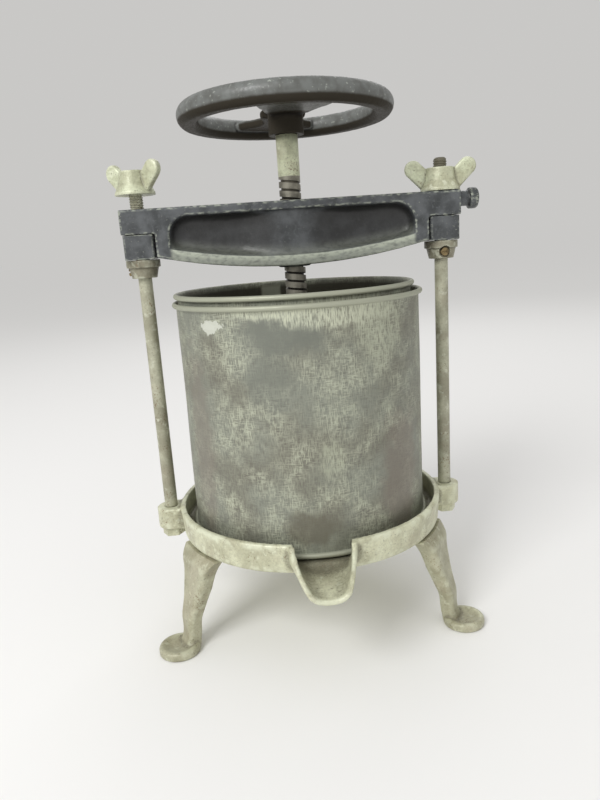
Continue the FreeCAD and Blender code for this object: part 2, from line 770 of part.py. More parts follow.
def make_crossbar():
    """The crossbar casting: notched ends, a bellied underside, a pocket in each face."""
    body = new_body("crossbar")
    end = rod_x + S.bar_end
    notch = rod_x - S.spacer_width / 2 - S.bar_notch_gap
    low, drop = bar_end_low, S.bar_belly_drop
    belly = (notch * notch + drop * drop) / (drop * 2)
    side_view = new_sketch(body, "side_outline", "XZ_Plane")
    steps = [
        (-end, bar_top),
        (-end, bar_underside),
        (-notch, bar_underside),
        (-notch, low),
        (notch, low, belly, 1),
        (notch, bar_underside),
        (end, bar_underside),
        (end, bar_top),
    ]
    draw_outline(side_view, steps)
    extrude(body, "blank", side_view, S.bar_depth, "Symmetric")
    on_bar = on_faces(S.bar_depth / 2)

    def is_long_edge(edge):
        return on_bar(edge) and edge.Length > notch.number

    round_edges(body, "long_edges", S.bar_edge_round, is_long_edge)

    half = notch - S.bar_end_wall
    corner = S.bar_pocket_round
    top = bar_top - S.bar_top_flange
    inner_belly = belly - S.bar_low_flange
    pocket_low = belly_low + belly - root(inner_belly * inner_belly - half * half)
    depth = (S.bar_depth - S.bar_web) / 2
    for face, offset, back in (
        ("front", S.bar_depth / 2, False),
        ("back", -S.bar_depth / 2, True),
    ):
        pocket = new_sketch(body, f"{face}_pocket_outline", "XZ_Plane", offset)
        steps = [
            (half, pocket_low, inner_belly, 1),
            (half, top - corner),
            (half - corner, top, corner, 1),
            (-half + corner, top),
            (-half, top - corner, corner, 1),
            (-half, pocket_low),
        ]
        draw_outline(pocket, steps)
        cut = extrude(body, f"{face}_pocket", pocket, depth, back=back, kind="Pocket")
        cut.setExpression("TaperAngle", (-S.bar_pocket_draft).formula)

    swell_low = belly_low + S.bar_low_flange / 2
    rise = S.bar_swell - S.bar_web / 2
    swell_radius = (S.bar_swell_reach * S.bar_swell_reach + rise * rise) / (rise * 2)
    swell = new_sketch(body, "swell_outline", "XY_Plane", swell_low)
    reach, web = S.bar_swell_reach, S.bar_web / 2
    steps = [
        (-reach, -web),
        (reach, -web, swell_radius, 1),
        (reach, web),
        (-reach, web, swell_radius, 1),
    ]
    draw_outline(swell, steps)
    extrude(body, "swell", swell, bar_top - S.bar_top_flange / 2 - swell_low)

    boss = new_sketch(body, "boss_outline", "XY_Plane", boss_low)
    draw_circle(boss, ZERO, ZERO, S.screw_radius + S.bar_boss_wall)
    extrude(body, "boss", boss, bar_top - boss_low)

    knob = new_sketch(body, "knob_outline", "XZ_Plane")
    knob.setExpression("AttachmentOffset.Base.y", (bar_top - S.knob_drop).formula)
    neck_end = end + S.knob_neck
    head_end = neck_end + S.knob_length
    steps = [
        (end - S.knob_neck / 2, ZERO),
        (head_end, ZERO),
        (head_end, S.knob_radius - S.knob_round),
        (head_end - S.knob_round, S.knob_radius, S.knob_round, 1),
        (neck_end, S.knob_radius),
        (neck_end, S.knob_neck_radius),
        (end - S.knob_neck / 2, S.knob_neck_radius),
    ]
    revolve(body, "knob", draw_outline(knob, steps), "H_Axis")

    bores = new_sketch(body, "bores_outline", "XY_Plane", bar_top)
    draw_circle(bores, ZERO, ZERO, S.screw_radius + S.running_gap)
    for sign in SIDES.values():
        draw_circle(bores, rod_x * sign, ZERO, S.rod_radius + S.fit_gap)
    extrude(body, "bores", bores, bar_top - boss_low, kind="Pocket")


def make_screw():
    """The press screw: a riveted tip, the plain core of the thread, a shank and a square."""
    body = new_body("press_screw")
    rivet_low = follower_low + S.screw_rivet_lift
    shoulder = follower_hub_top - S.follower_socket_depth + S.seat_gap
    stud_top = hub_top + S.wheel_nut_height + S.rod_tail
    steps = [
        (ZERO, rivet_low),
        (S.screw_rivet_radius, rivet_low),
        (S.screw_rivet_radius, rivet_top),
        (S.screw_tip_radius, rivet_top),
        (S.screw_tip_radius, shoulder),
        (S.screw_radius, shoulder),
        (S.screw_radius, hub_bottom),
        (S.screw_stud_radius, hub_bottom),
        (S.screw_stud_radius, stud_top - S.rod_tip_chamfer),
        (S.screw_stud_radius - S.rod_tip_chamfer, stud_top),
        (ZERO, stud_top),
    ]
    turn_profile(body, "shaft", steps)
    square = new_sketch(body, "square_outline", "XY_Plane", hub_bottom)
    half = S.screw_square / 2
    draw_outline(square, rectangle(-half, -half, half, half))
    extrude(body, "square", square, S.wheel_hub_height - S.seat_gap)
    place(body, turn=S.wheel_turn)


def make_handwheel():
    """The handwheel: a rounded rim, a hub and flat spokes that flare wide at the rim."""
    body = new_body("handwheel")
    outer = S.wheel_radius - S.wheel_rim_bulge
    inner = S.wheel_radius - S.wheel_rim_depth
    half = S.wheel_rim_height / 2
    low, high = wheel_middle - half, wheel_middle + half
    bulge, hollow = S.wheel_rim_bulge, S.wheel_rim_hollow
    bulge_radius = (half * half + bulge * bulge) / (bulge * 2)
    hollow_radius = (half * half + hollow * hollow) / (hollow * 2)
    steps = [
        (outer, low),
        (outer, high, bulge_radius, 1),
        (inner + hollow, high),
        (inner + hollow, low, hollow_radius, 1),
    ]
    turn_profile(body, "rim", steps)
    turn_profile(body, "hub", rectangle(ZERO, hub_bottom, S.wheel_hub_radius, hub_top))

    start = S.wheel_hub_radius / 2
    end = inner + S.wheel_spoke_bite
    height = wheel_middle + S.wheel_spoke_lift
    thick, corner = S.wheel_spoke_thickness, S.wheel_spoke_round
    sections = [
        ("root", start, S.wheel_spoke_root),
        ("waist", S.wheel_spoke_waist_at, S.wheel_spoke_waist),
        ("end", end, S.wheel_spoke_end),
    ]
    sketches = []
    for name, reach, width in sections:
        sketch = new_sketch(body, f"spoke_{name}_outline", "YZ_Plane", reach)
        draw_outline(sketch, rounded_rectangle(ZERO, height, width, thick, corner))
        sketches.append(sketch)
    spoke = loft(body, "spoke", sketches)
    repeat_round(body, "spokes", [spoke], S.wheel_spoke_count)

    hole = new_sketch(body, "square_hole_outline", "XY_Plane", hub_top)
    reach = S.screw_square / 2 + S.fit_gap
    draw_outline(hole, rectangle(-reach, -reach, reach, reach))
    extrude(body, "square_hole", hole, S.wheel_hub_height, kind="Pocket")
    place(body, turn=S.wheel_turn)


def make_follower():
    """The follower: a rimmed, ribbed plate with a hub that the screw's tip turns in."""
    body = new_body("follower")
    low = follower_low
    plate, rim = low + S.follower_plate, low + S.follower_rim
    outside = basket_inner - basket_shift - S.follower_gap
    inside = outside - S.follower_rim_width
    socket = S.screw_radius + S.running_gap
    tip = S.screw_tip_radius + S.running_gap
    socket_low = follower_hub_top - S.follower_socket_depth
    recess = S.washer_radius + S.follower_recess_gap
    steps = [
        (recess, low),
        (outside, low),
        (outside, rim),
        (inside, rim),
        (inside, plate),
        (S.follower_hub_radius, plate),
        (S.follower_hub_radius, follower_hub_top),
        (socket, follower_hub_top),
        (socket, socket_low),
        (tip, socket_low),
        (tip, recess_top),
        (recess, recess_top),
    ]
    turn_profile(body, "plate", steps)
    rib = new_sketch(body, "rib_outline", "XY_Plane", plate)
    half = S.follower_rib / 2
    start = (S.follower_hub_radius + socket) / 2
    end = inside + S.follower_rim_width / 2
    draw_outline(rib, rectangle(start, -half, end, half))
    first = extrude(body, "rib", rib, S.follower_rim - S.follower_plate)
    repeat_round(body, "ribs", [first], S.follower_rib_count)


def make_washer():
    """The washer on the screw's riveted tip, in the recess under the follower."""
    body = new_body("follower_washer")
    top = recess_top - S.seat_gap
    low = top - S.washer_thickness
    bore = S.screw_tip_radius + S.fit_gap
    turn_profile(body, "ring", rectangle(bore, low, S.washer_radius, top))


def add_bead(body, name, radius, height):
    """A rolled bead about the body's upright axis."""
    sketch = new_sketch(body, name + "_outline", "XZ_Plane")
    revolve(body, name, draw_circle(sketch, radius, height, S.bead_radius))


def add_seam(body, near, far, low, high):
    """A lapped seam, a strip down the wall from near to far of the axis."""
    sketch = new_sketch(body, "seam_outline", "XY_Plane", low)
    half = S.seam_width / 2
    draw_outline(sketch, rectangle(near, -half, far, half))
    extrude(body, "seam", sketch, high - low)


def make_sleeve():
    """The plain tin sleeve, with a rolled bead at its top and foot."""
    body = new_body("outer_sleeve")
    bead = sleeve_inner + S.bead_radius
    low = rest_height + S.bead_radius
    outer = S.sleeve_radius
    turn_profile(body, "wall", rectangle(sleeve_inner, low, outer, sleeve_bead))
    add_bead(body, "foot_bead", bead, low)
    add_bead(body, "top_bead", bead, sleeve_bead)
    middle = outer - S.tin_thickness / 2
    add_seam(body, middle, outer + S.seam_thickness, low, sleeve_bead)
    place(body, turn=S.sleeve_seam_turn)


def make_basket():
    """The tin basket in the sleeve, with a rolled bead and a ledge for the strainer plate."""
    body = new_body("basket")
    inner = basket_inner
    steps = [
        (inner - S.basket_ledge, rest_height),
        (basket_radius, rest_height),
        (basket_radius, basket_bead),
        (inner, basket_bead),
        (inner, strainer_low),
        (inner - S.basket_ledge, strainer_low),
    ]
    turn_profile(body, "wall", steps)
    add_bead(body, "top_bead", inner + S.bead_radius, basket_bead)
    middle = inner + S.tin_thickness / 2
    add_seam(body, inner - S.seam_thickness, middle, strainer_top + S.seat_gap, basket_bead)
    place(body, -basket_shift, turn=S.basket_seam_turn)


def make_strainer():
    """The perforated plate on the basket's ledge."""
    body = new_body("strainer_plate")
    outer = basket_inner - S.seat_gap
    turn_profile(body, "disc", rectangle(ZERO, strainer_low, outer, strainer_top))
    for ring in range(1, int(S.strainer_rings.number) + 1):
        sketch = new_sketch(body, f"hole_{ring}_outline", "XY_Plane", strainer_top)
        draw_circle(sketch, S.strainer_pitch * ring, ZERO, S.strainer_hole_radius)
        hole = extrude(body, f"hole_{ring}", sketch, S.strainer_thickness, kind="Pocket")
        repeat_round(body, f"holes_{ring}", [hole], Size(str(6 * ring), 6 * ring))
    place(body, -basket_shift)


def make_wing_nut(side, sign, lift, turn):
    """A wing nut: two rounded wings that lean outwards from a nut shaped like a bell."""
    body = new_body(f"wing_nut_{side}")
    lobe, reach, rise = S.wing_lobe_radius, S.wing_reach, S.wing_rise
    lean = lobe / math.sqrt(2)
    far, near = reach + lean, reach - lean
    foot, crotch = S.wing_foot, S.wing_nut_height - S.wing_foot
    root_far, root_near = far - (rise - lean - foot), near - (rise + lean - crotch)
    wings = new_sketch(body, "wings_outline", "XZ_Plane")
    steps = [
        (root_far, foot),
        (far, rise - lean),
        (far, rise + lean, lobe, 1),
        (near, rise + lean, lobe, 1),
        (root_near, crotch),
        (-root_near, crotch),
        (-near, rise + lean),
        (-far, rise + lean, lobe, 1),
        (-far, rise - lean, lobe, 1),
        (-root_far, foot),
    ]
    extrude(body, "wings", draw_outline(wings, steps), S.wing_thickness, "Symmetric")
    round_edges(body, "wing_edges", S.wing_round, on_faces(S.wing_thickness / 2))
    steps = [
        (ZERO, ZERO),
        (S.wing_nut_radius, ZERO),
        (S.wing_nut_radius, S.wing_nut_flange),
        (S.wing_nut_waist_radius, S.wing_nut_waist),
        (S.wing_nut_top_radius, S.wing_nut_height),
        (ZERO, S.wing_nut_height),
    ]
    turn_profile(body, "nut", steps)
    hole = new_sketch(body, "bore_outline", "XY_Plane")
    draw_circle(hole, ZERO, ZERO, S.rod_thread_radius + S.running_gap)
    extrude(body, "bore", hole, S.wing_nut_height, back=True, kind="Pocket")
    place(body, rod_x * sign, ZERO, bar_top + lift, turn)


make_tray()
for name, turn in LEG_TURNS.items():
    angle = Size(f"({turn})", turn)
    make_leg(name, angle)
    make_leg_screw(name, angle)
nut_bore = S.rod_spigot_radius + S.fit_gap
nut_low = lug_bottom - S.seat_gap - S.rod_nut_height
for side, sign in SIDES.items():
    make_rod(side, sign)
    nut = f"rod_nut_{side}"
    make_hex_nut(nut, S.rod_nut_width, S.rod_nut_height, nut_bore, rod_x * sign, nut_low)
    screw_turn = Size("(-90)", -90.0) if side == "left" else ZERO
    make_collar(side, sign, screw_turn)
    make_set_screw(side, sign, screw_turn)
    make_spacer(side, sign)
make_crossbar()
make_screw()
make_handwheel()
stud_bore = S.screw_stud_radius + S.fit_gap
make_hex_nut("wheel_nut", S.wheel_nut_width, S.wheel_nut_height, stud_bore, ZERO, hub_top)
make_follower()
make_washer()
make_sleeve()
make_basket()
make_strainer()
make_wing_nut("left", SIDES["left"], S.wing_nut_left_lift, S.wing_nut_left_turn)
make_wing_nut("right", SIDES["right"], S.seat_gap, S.wing_nut_right_turn)
doc.recompute()

for thing in doc.Objects:
    if "Invalid" in thing.State or "Error" in thing.State:
        raise RuntimeError(f"{thing.Name} did not build: {thing.State}")
for piece in parts:
    if piece.Shape.isNull() or not piece.Shape.isValid() or len(piece.Shape.Solids) != 1:
        raise RuntimeError(f"{piece.Label} is not one sound solid")

os.makedirs("parts", exist_ok=True)
for piece in parts:
    piece.Shape.exportStep(os.path.join("parts", piece.Label + ".step"))
    print(piece.Label, round(piece.Shape.Volume, 1))
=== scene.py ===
"""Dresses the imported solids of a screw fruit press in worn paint, mottled tin and cut threads."""

import json
import logging
import math
from dataclasses import dataclass, field
from enum import Enum
from typing import Any, Protocol

import bmesh
import bpy
import numpy as np
from mathutils import Matrix, Vector


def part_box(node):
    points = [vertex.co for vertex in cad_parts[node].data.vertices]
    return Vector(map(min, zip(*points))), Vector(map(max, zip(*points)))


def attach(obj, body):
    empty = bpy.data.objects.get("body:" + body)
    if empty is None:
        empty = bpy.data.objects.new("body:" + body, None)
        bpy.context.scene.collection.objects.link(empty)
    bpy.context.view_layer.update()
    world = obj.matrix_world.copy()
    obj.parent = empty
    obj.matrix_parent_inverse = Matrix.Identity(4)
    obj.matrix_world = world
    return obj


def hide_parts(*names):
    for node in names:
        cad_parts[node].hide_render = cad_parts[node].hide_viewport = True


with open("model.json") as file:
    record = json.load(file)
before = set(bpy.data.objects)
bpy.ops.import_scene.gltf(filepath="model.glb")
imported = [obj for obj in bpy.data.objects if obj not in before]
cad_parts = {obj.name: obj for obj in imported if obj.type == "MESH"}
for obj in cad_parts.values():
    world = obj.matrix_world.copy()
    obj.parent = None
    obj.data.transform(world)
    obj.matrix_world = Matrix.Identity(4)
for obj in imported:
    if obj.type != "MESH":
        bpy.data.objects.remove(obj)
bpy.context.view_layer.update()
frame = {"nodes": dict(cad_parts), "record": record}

MM = 0.001
SIDES = ("left", "right")
log = logging.getLogger("fruit_press")

Span = tuple[float, float]
Colour = tuple[float, float, float]
Point = tuple[float, float, float]
Profile = list[tuple[float, float]]
Mesh = bpy.types.Mesh
Material = bpy.types.Material
Socket = bpy.types.NodeSocket
Feed = Any


class Body(Enum):
    """The bodies that pieces ride on."""

    FRAME = "frame"
    FOLLOWER = "follower"
    SCREW = "screw"
    WING_NUT_LEFT = "wing_nut_left"
    WING_NUT_RIGHT = "wing_nut_right"


class Slot(Enum):
    """The record's material slots."""

    PAINTED_CASTING = "painted_casting"
    PAINTED_FITTING = "painted_fitting"
    BLACK_CASTING = "black_casting"
    WHEEL_CASTING = "wheel_casting"
    TINPLATE = "tinplate"
    SCREW_STEEL = "screw_steel"
    BRASS_SCREW = "brass_screw"
    FOLLOWER_CASTING = "follower_casting"


class Mark(Enum):
    """Point attributes that tell a finish where a surface stands out, where soiling and painted shade darken
    it, and where it is rubbed, with painted sheens and highlights among the rubbing.
    """

    EDGE = "edge"
    # Soiling and painted shade in recesses, in the crossbar's pockets and on the tray's floor.
    DIRT_AND_SHADE = "dirt_and_shade"
    # Rubbed paint, with painted sheens and highlights on the crossbar, the handwheel and the tin's beads.
    WORN_AND_SHEEN = "worn"


class NodeSheet:
    """A node tree whose nodes are added by small calls."""

    clamped = False

    def __init__(self, tree: bpy.types.NodeTree) -> None:
        """Take over a tree."""
        self.tree = tree

    def add(self, kind: str, feeds: dict[Any, Feed], **settings: Any) -> bpy.types.Node:
        """Add one node.

        Args:
            kind: The node's type.
            feeds: What goes into each input, a socket or a plain value.
            settings: The node's own properties.

        Returns:
            The node.
        """
        node = self.tree.nodes.new(kind)
        for key, value in settings.items():
            setattr(node, key, value)
        for key, feed in feeds.items():
            self.feed(node.inputs[key], feed)
        return node

    def feed(self, target: Socket, feed: Feed) -> None:
        """Feed one input.

        Args:
            target: The input.
            feed: The socket that is linked to it, or the plain value that it is set to.
        """
        if isinstance(feed, Socket):
            self.tree.links.new(feed, target)
        elif target.type == "RGBA":
            target.default_value = (*feed, 1.0)
        else:
            target.default_value = feed

    def work(self, operation: str, first: Feed, second: Feed) -> Socket:
        """One sum on two values, held between 0 and 1 where the sheet is clamped."""
        feeds = {0: first, 1: second}
        return self.add("ShaderNodeMath", feeds, operation=operation, use_clamp=self.clamped).outputs["Value"]


@dataclass(frozen=True)
class Ease:
    """A smooth step: start up to low, end from high on."""

    low: float
    high: float
    start: float = 0.0
    end: float = 1.0


@dataclass(frozen=True)
class Patches:
    """Patches of noise: the width of a grain, how finely it breaks up, and where a patch sets in."""

    grain: float
    detail: float
    ease: Ease
    shift: float = 0.0
    stretch: Point = (1.0, 1.0, 1.0)


class ShaderSheet(NodeSheet):
    """A material's nodes, where each call is one step of the finish."""

    clamped = True
    grain_range = (0.25, 0.75)
    stain_grain = 0.7
    stain_detail = 6.0

    def __init__(self, name: str) -> None:
        """Start a material with a plain shader."""
        self.material = bpy.data.materials.new(name)
        self.material.use_nodes = True
        super().__init__(self.material.node_tree)
        self.shader = self.tree.nodes["Principled BSDF"]
        self.place = self.add("ShaderNodeTexCoord", {}).outputs["Object"]

    def noise(self, grain: float, detail: float, shift: float = 0.0,
              stretch: Point = (1.0, 1.0, 1.0)) -> Socket:
        """Noise from 0 to 1.

        Args:
            grain: The width of a grain, in metres.
            detail: How much finer noise lies on it.
            shift: Moves the pattern, so that two noises of one grain differ.
            stretch: How many times longer a grain is along X, Y and Z.

        Returns:
            The noise.
        """
        scale = tuple(1.0 / (grain * s) for s in stretch)
        mapping = self.add("ShaderNodeMapping", {"Vector": self.place, "Scale": scale,
                                                 "Location": (shift, shift, shift)})
        feeds = {"Vector": mapping.outputs["Vector"], "Scale": 1.0, "Detail": detail}
        return self.add("ShaderNodeTexNoise", feeds).outputs["Fac"]

    def ramp(self, value: Feed, ease: Ease) -> Socket:
        """A value that goes through a smooth step."""
        feeds = {"Value": value, "From Min": ease.low, "From Max": ease.high, "To Min": ease.start,
                 "To Max": ease.end}
        return self.add("ShaderNodeMapRange", feeds, interpolation_type="SMOOTHSTEP").outputs["Result"]

    def patches(self, look: Patches) -> Socket:
        """Where patches of noise lie, and how strong they are."""
        return self.ramp(self.noise(look.grain, look.detail, look.shift, look.stretch), look.ease)

    def times(self, first: Feed, second: Feed) -> Socket:
        """Two shares multiplied."""
        return self.work("MULTIPLY", first, second)

    def mix(self, share: Feed, first: Feed, second: Feed) -> Socket:
        """Turn one colour into another.

        Args:
            share: How far it is turned.
            first: The colour at a share of 0.
            second: The colour at a share of 1.

        Returns:
            The mixed colour.
        """
        node = self.add("ShaderNodeMix", {}, data_type="RGBA")
        inputs = {socket.identifier: socket for socket in node.inputs}
        for name, feed in (("Factor_Float", share), ("A_Color", first), ("B_Color", second)):
            self.feed(inputs[name], feed)
        return next(s for s in node.outputs if s.identifier == "Result_Color")

    def layers(self, ground: Feed, *coats: tuple[Feed, Feed]) -> Socket:
        """Lay coats over a ground.

        Args:
            ground: The colour of the ground.
            coats: Where each coat lies, and its colour, from the lowest up.

        Returns:
            The colour that shows.
        """
        for share, colour in coats:
            ground = self.mix(share, ground, colour)
        return ground

    def mark(self, mark: Mark) -> Socket:
        """A piece's own attribute, 0 where it has none."""
        return self.add("ShaderNodeAttribute", {}, attribute_name=mark.value).outputs["Fac"]

    def length(self, vector: Socket) -> Socket:
        """The length of a vector."""
        return self.add("ShaderNodeVectorMath", {0: vector}, operation="LENGTH").outputs["Value"]

    def axis_distance(self) -> Socket:
        """The distance from the press screw's axis, in metres."""
        flat = self.add("ShaderNodeVectorMath", {0: self.place, 1: (1.0, 1.0, 0.0)}, operation="MULTIPLY")
        return self.length(flat.outputs["Vector"])

    def height(self) -> Socket:
        """The height over the floor, in metres."""
        return self.add("ShaderNodeSeparateXYZ", {"Vector": self.place}).outputs["Z"]

    def spot(self, centre: Point, reach: Point, ragged: float, soft: float) -> Socket:
        """A stain: 1 inside, 0 outside, with a ragged edge.

        Args:
            centre: Its middle, in metres.
            reach: Its half width along X, Y and Z, in metres.
            ragged: How far noise moves its edge, as a share of its size.
            soft: How wide its edge fades, as a share of its size.

        Returns:
            The stain's strength.
        """
        scale = tuple(1.0 / r for r in reach)
        location = tuple(-c / r for c, r in zip(centre, reach))
        mapping = self.add("ShaderNodeMapping", {"Vector": self.place, "Scale": scale, "Location": location})
        wander = self.noise(min(reach) * self.stain_grain, self.stain_detail, centre[0] / MM)
        feeds = {0: wander, 1: ragged, 2: self.length(mapping.outputs["Vector"])}
        edge = self.add("ShaderNodeMath", feeds, operation="MULTIPLY_ADD").outputs["Value"]
        return self.ramp(edge, Ease(1.0 - soft + ragged / 2, 1.0 + soft + ragged / 2, 1.0, 0.0))

    def grained(self, grain: Socket, middle: float, less: float, more: float) -> Socket:
        """A roughness that follows a fine grain, from less under its middle to more over it."""
        return self.ramp(grain, Ease(*self.grain_range, middle - less, middle + more))

    def dress(self, colour: Feed, roughness: Feed, metallic: Feed, height: Feed = None, depth: float = 0.0,
              gloss: Feed = 0.5) -> None:
        """Feed the shader.

        Args:
            colour: The base colour.
            roughness: The roughness.
            metallic: The share of bare metal.
            height: What raises the surface, if anything does.
            depth: How far it does so, in metres.
            gloss: How strongly the surface mirrors what is round it.
        """
        for name, feed in (("Base Color", colour), ("Specular IOR Level", gloss), ("Roughness", roughness),
                           ("Metallic", metallic)):
            self.feed(self.shader.inputs[name], feed)
        if height is not None:
            bump = self.add("ShaderNodeBump", {"Height": height, "Distance": depth, "Strength": 1.0})
            self.feed(self.shader.inputs["Normal"], bump.outputs["Normal"])


@dataclass(frozen=True)
class Finish:
    """What every finish has: a name, and nodes that it lays on a sheet of its own."""

    name: str

    def make(self) -> Material:
        """Build the material.

        Returns:
            The material.
        """
        sheet = ShaderSheet(self.name)
        self.lay(sheet)
        return sheet.material

    def lay(self, sheet: ShaderSheet) -> None:
        """Add the finish's nodes to its sheet."""
        raise NotImplementedError


@dataclass(frozen=True)
class AluminiumPaint(Finish):
    """Old aluminium paint on iron, gone cream and khaki, with rust and dark specks."""

    light: Colour = (0.66, 0.665, 0.48)
    shade: Colour = (0.48, 0.475, 0.33)
    # Rosy: partly the paint's own tone and partly a painted pink reflection.
    rosy: Colour = (0.43, 0.36, 0.265)
    grime_and_shade: Colour = (0.11, 0.098, 0.066)
    rust: Colour = (0.17, 0.105, 0.055)
    bright: Colour = (0.70, 0.72, 0.55)
    wear: float = 0.75
    soiled_and_shaded: float = 0.8
    roughness: float = 0.44
    metallic: float = 0.15
    dark_over: float = 0.0
    dark_fade: float = 3 * MM
    dark_share: float = 0.92
    relief: float = 0.14 * MM
    clouds: Patches = Patches(13 * MM, 6.0, Ease(0.38, 0.64))
    blush: Patches = Patches(18 * MM, 5.0, Ease(0.50, 0.70, 0.0, 0.25), 7.0)
    mottle: Patches = Patches(3.4 * MM, 5.0, Ease(0.46, 0.68, 0.0, 0.35), 13.0)
    flecks: Patches = Patches(4.2 * MM, 4.0, Ease(0.56, 0.70), 17.0)
    specks: Patches = Patches(1.5 * MM, 2.0, Ease(0.66, 0.72, 0.0, 0.55), 3.0)
    rusty: Patches = Patches(12 * MM, 2.0, Ease(0.58, 0.68), 11.0)
    pits: Patches = Patches(1.0 * MM, 3.0, Ease(0.56, 0.64, 0.0, 0.75), 5.0)
    rubs: Patches = Patches(6 * MM, 5.0, Ease(0.40, 0.64))
    film: Ease = Ease(0.3, 0.62, 0.2, 0.0)
    caked: Ease = Ease(0.2, 0.6, 1.0, 0.55)

    def lay(self, sheet: ShaderSheet) -> None:
        """Lay clouded paint with pink patches that are partly a painted reflection, then a fine film of
        soiling, soiling and painted shade in the recesses, specks and rust, and bright rubs along its edges.

        Args:
            sheet: The material's nodes.
        """
        fine = sheet.noise(1.1 * MM, 5.0)
        soiled_and_shaded = sheet.times(sheet.mark(Mark.DIRT_AND_SHADE), sheet.ramp(fine, self.caked))
        edge = sheet.times(sheet.mark(Mark.EDGE), sheet.patches(self.rubs))
        colour = sheet.layers(
            self.light,
            (sheet.patches(self.clouds), self.shade),
            # The blush patches: partly the paint's tone, partly a painted pink reflection.
            (sheet.patches(self.blush), self.rosy),
            (sheet.patches(self.mottle), self.shade),
            (sheet.times(sheet.patches(self.flecks), self.wear), self.bright),
            (sheet.ramp(fine, self.film), self.grime_and_shade),
            # Recesses darken as soiling and painted shade; on the tray this holds the painted shadow on its
            # floor.
            (sheet.times(soiled_and_shaded, self.soiled_and_shaded), self.grime_and_shade),
            (sheet.patches(self.specks), self.grime_and_shade),
            (sheet.times(sheet.patches(self.rusty), sheet.patches(self.pits)), self.rust),
            (sheet.times(edge, self.wear), self.bright))
        if self.dark_over:
            tip = Ease(self.dark_over, self.dark_over + self.dark_fade, 0.0, self.dark_share)
            colour = sheet.mix(sheet.ramp(sheet.height(), tip), colour, self.grime_and_shade)
        sheet.dress(colour, sheet.grained(fine, self.roughness, 0.1, 0.12), self.metallic, fine, self.relief)


@dataclass(frozen=True)
class BlackPaint(Finish):
    """Thick black paint on cast iron, rubbed through where it is handled and knocked."""

    dark: Colour = (0.040, 0.044, 0.046)
    slate: Colour = (0.105, 0.112, 0.118)
    worn: Colour = (0.44, 0.47, 0.385)
    chip: Colour = (0.24, 0.25, 0.215)
    grime_and_shade: Colour = (0.014, 0.013, 0.012)
    soot_and_shade: float = 0.85
    bare: float = 0.2
    roughness: float = 0.42
    relief: float = 0.1 * MM
    clouds: Patches = Patches(9 * MM, 5.0, Ease(0.30, 0.74))
    dull: Patches = Patches(2.0 * MM, 6.0, Ease(0.52, 0.72, 0.0, 0.6), 4.0)
    chips: Patches = Patches(1.2 * MM, 2.0, Ease(0.68, 0.73, 0.0, 0.8), 2.0)
    rubs: Ease = Ease(0.28, 0.58, 0.5, 1.0)
    scuffs: Ease = Ease(0.43, 0.63)
    edges: Ease = Ease(0.3, 0.9, 0.0, 0.6)

    def lay(self, sheet: ShaderSheet) -> None:
        """Lay clouded black, then soiling and painted shade in the recesses, darkest as the pockets' painted
        shade, rubbed stretches and edges with a painted sheen in the lower cove, and chips.

        Args:
            sheet: The material's nodes.
        """
        fine = sheet.noise(0.9 * MM, 4.0)
        ragged = sheet.noise(1.5 * MM, 6.0, 9.0, (2.0, 1.0, 1.0))
        dirt_and_shade = sheet.mark(Mark.DIRT_AND_SHADE)
        rubbed = sheet.times(sheet.mark(Mark.WORN_AND_SHEEN), sheet.ramp(ragged, self.rubs))
        scuffs = sheet.times(sheet.ramp(sheet.mark(Mark.EDGE), self.edges), sheet.ramp(ragged, self.scuffs))
        rubbed = sheet.work("MAXIMUM", rubbed, scuffs)
        chips = sheet.work("SUBTRACT", sheet.patches(self.chips), sheet.times(dirt_and_shade, 2.0))
        colour = sheet.layers(
            self.dark,
            (sheet.patches(self.clouds), self.slate),
            (sheet.patches(self.dull), self.slate),
            # Soiling in the recesses, and painted shade in the pockets under the upper flange.
            (sheet.times(dirt_and_shade, self.soot_and_shade), self.grime_and_shade),
            # Rubbed paint, which in the pockets' lower cove is a painted sheen.
            (rubbed, self.worn),
            (chips, self.chip))
        roughness = sheet.grained(fine, self.roughness, 0.1, 0.14)
        sheet.dress(colour, roughness, sheet.times(rubbed, self.bare), fine, self.relief)


@dataclass(frozen=True)
class WheelPaint(Finish):
    """Black paint on the handwheel, rubbed grey round the rim by hands."""

    dark: Colour = (0.038, 0.033, 0.025)
    rubbed: Colour = (0.145, 0.153, 0.145)
    scuff: Colour = (0.34, 0.36, 0.32)
    grime_and_shade: Colour = (0.008, 0.007, 0.006)
    soot_and_shade: float = 0.8
    roughness: float = 0.38
    relief: float = 0.08 * MM
    clouds: Patches = Patches(6 * MM, 6.0, Ease(0.32, 0.64, 0.55, 1.0))
    scuffs: Patches = Patches(2.0 * MM, 5.0, Ease(0.60, 0.72), 6.0)
    gloss: Ease = Ease(0.0, 0.6, 0.03, 0.5)

    def lay(self, sheet: ShaderSheet) -> None:
        """Lay dull black, then the rubbed grey with its scuffs, which on the front spoke is also a painted
        highlight, and soiling and painted shade in the recesses.

        Args:
            sheet: The material's nodes.
        """
        fine = sheet.noise(0.9 * MM, 4.0)
        # The rim's rubbed wear, and the front spoke's painted highlight.
        rub_and_highlight = sheet.times(sheet.mark(Mark.WORN_AND_SHEEN), sheet.patches(self.clouds))
        colour = sheet.layers(
            self.dark,
            (rub_and_highlight, self.rubbed),
            (sheet.times(sheet.patches(self.scuffs), rub_and_highlight), self.scuff),
            (sheet.times(sheet.mark(Mark.DIRT_AND_SHADE), self.soot_and_shade), self.grime_and_shade))
        roughness = sheet.grained(fine, self.roughness, 0.1, 0.16)
        sheet.dress(colour, roughness, 0.0, fine, self.relief, sheet.ramp(rub_and_highlight, self.gloss))


@dataclass(frozen=True)
class Stain:
    """A stain, painted sheen or painted glint on the tin: where it is round the cylinder, how high, how large
    and what colour.
    """

    turn: float
    height: float
    width: float
    tall: float
    colour: Colour
    strength: float
    ragged: float = 1.2
    soft: float = 0.35
    hatched: bool = False


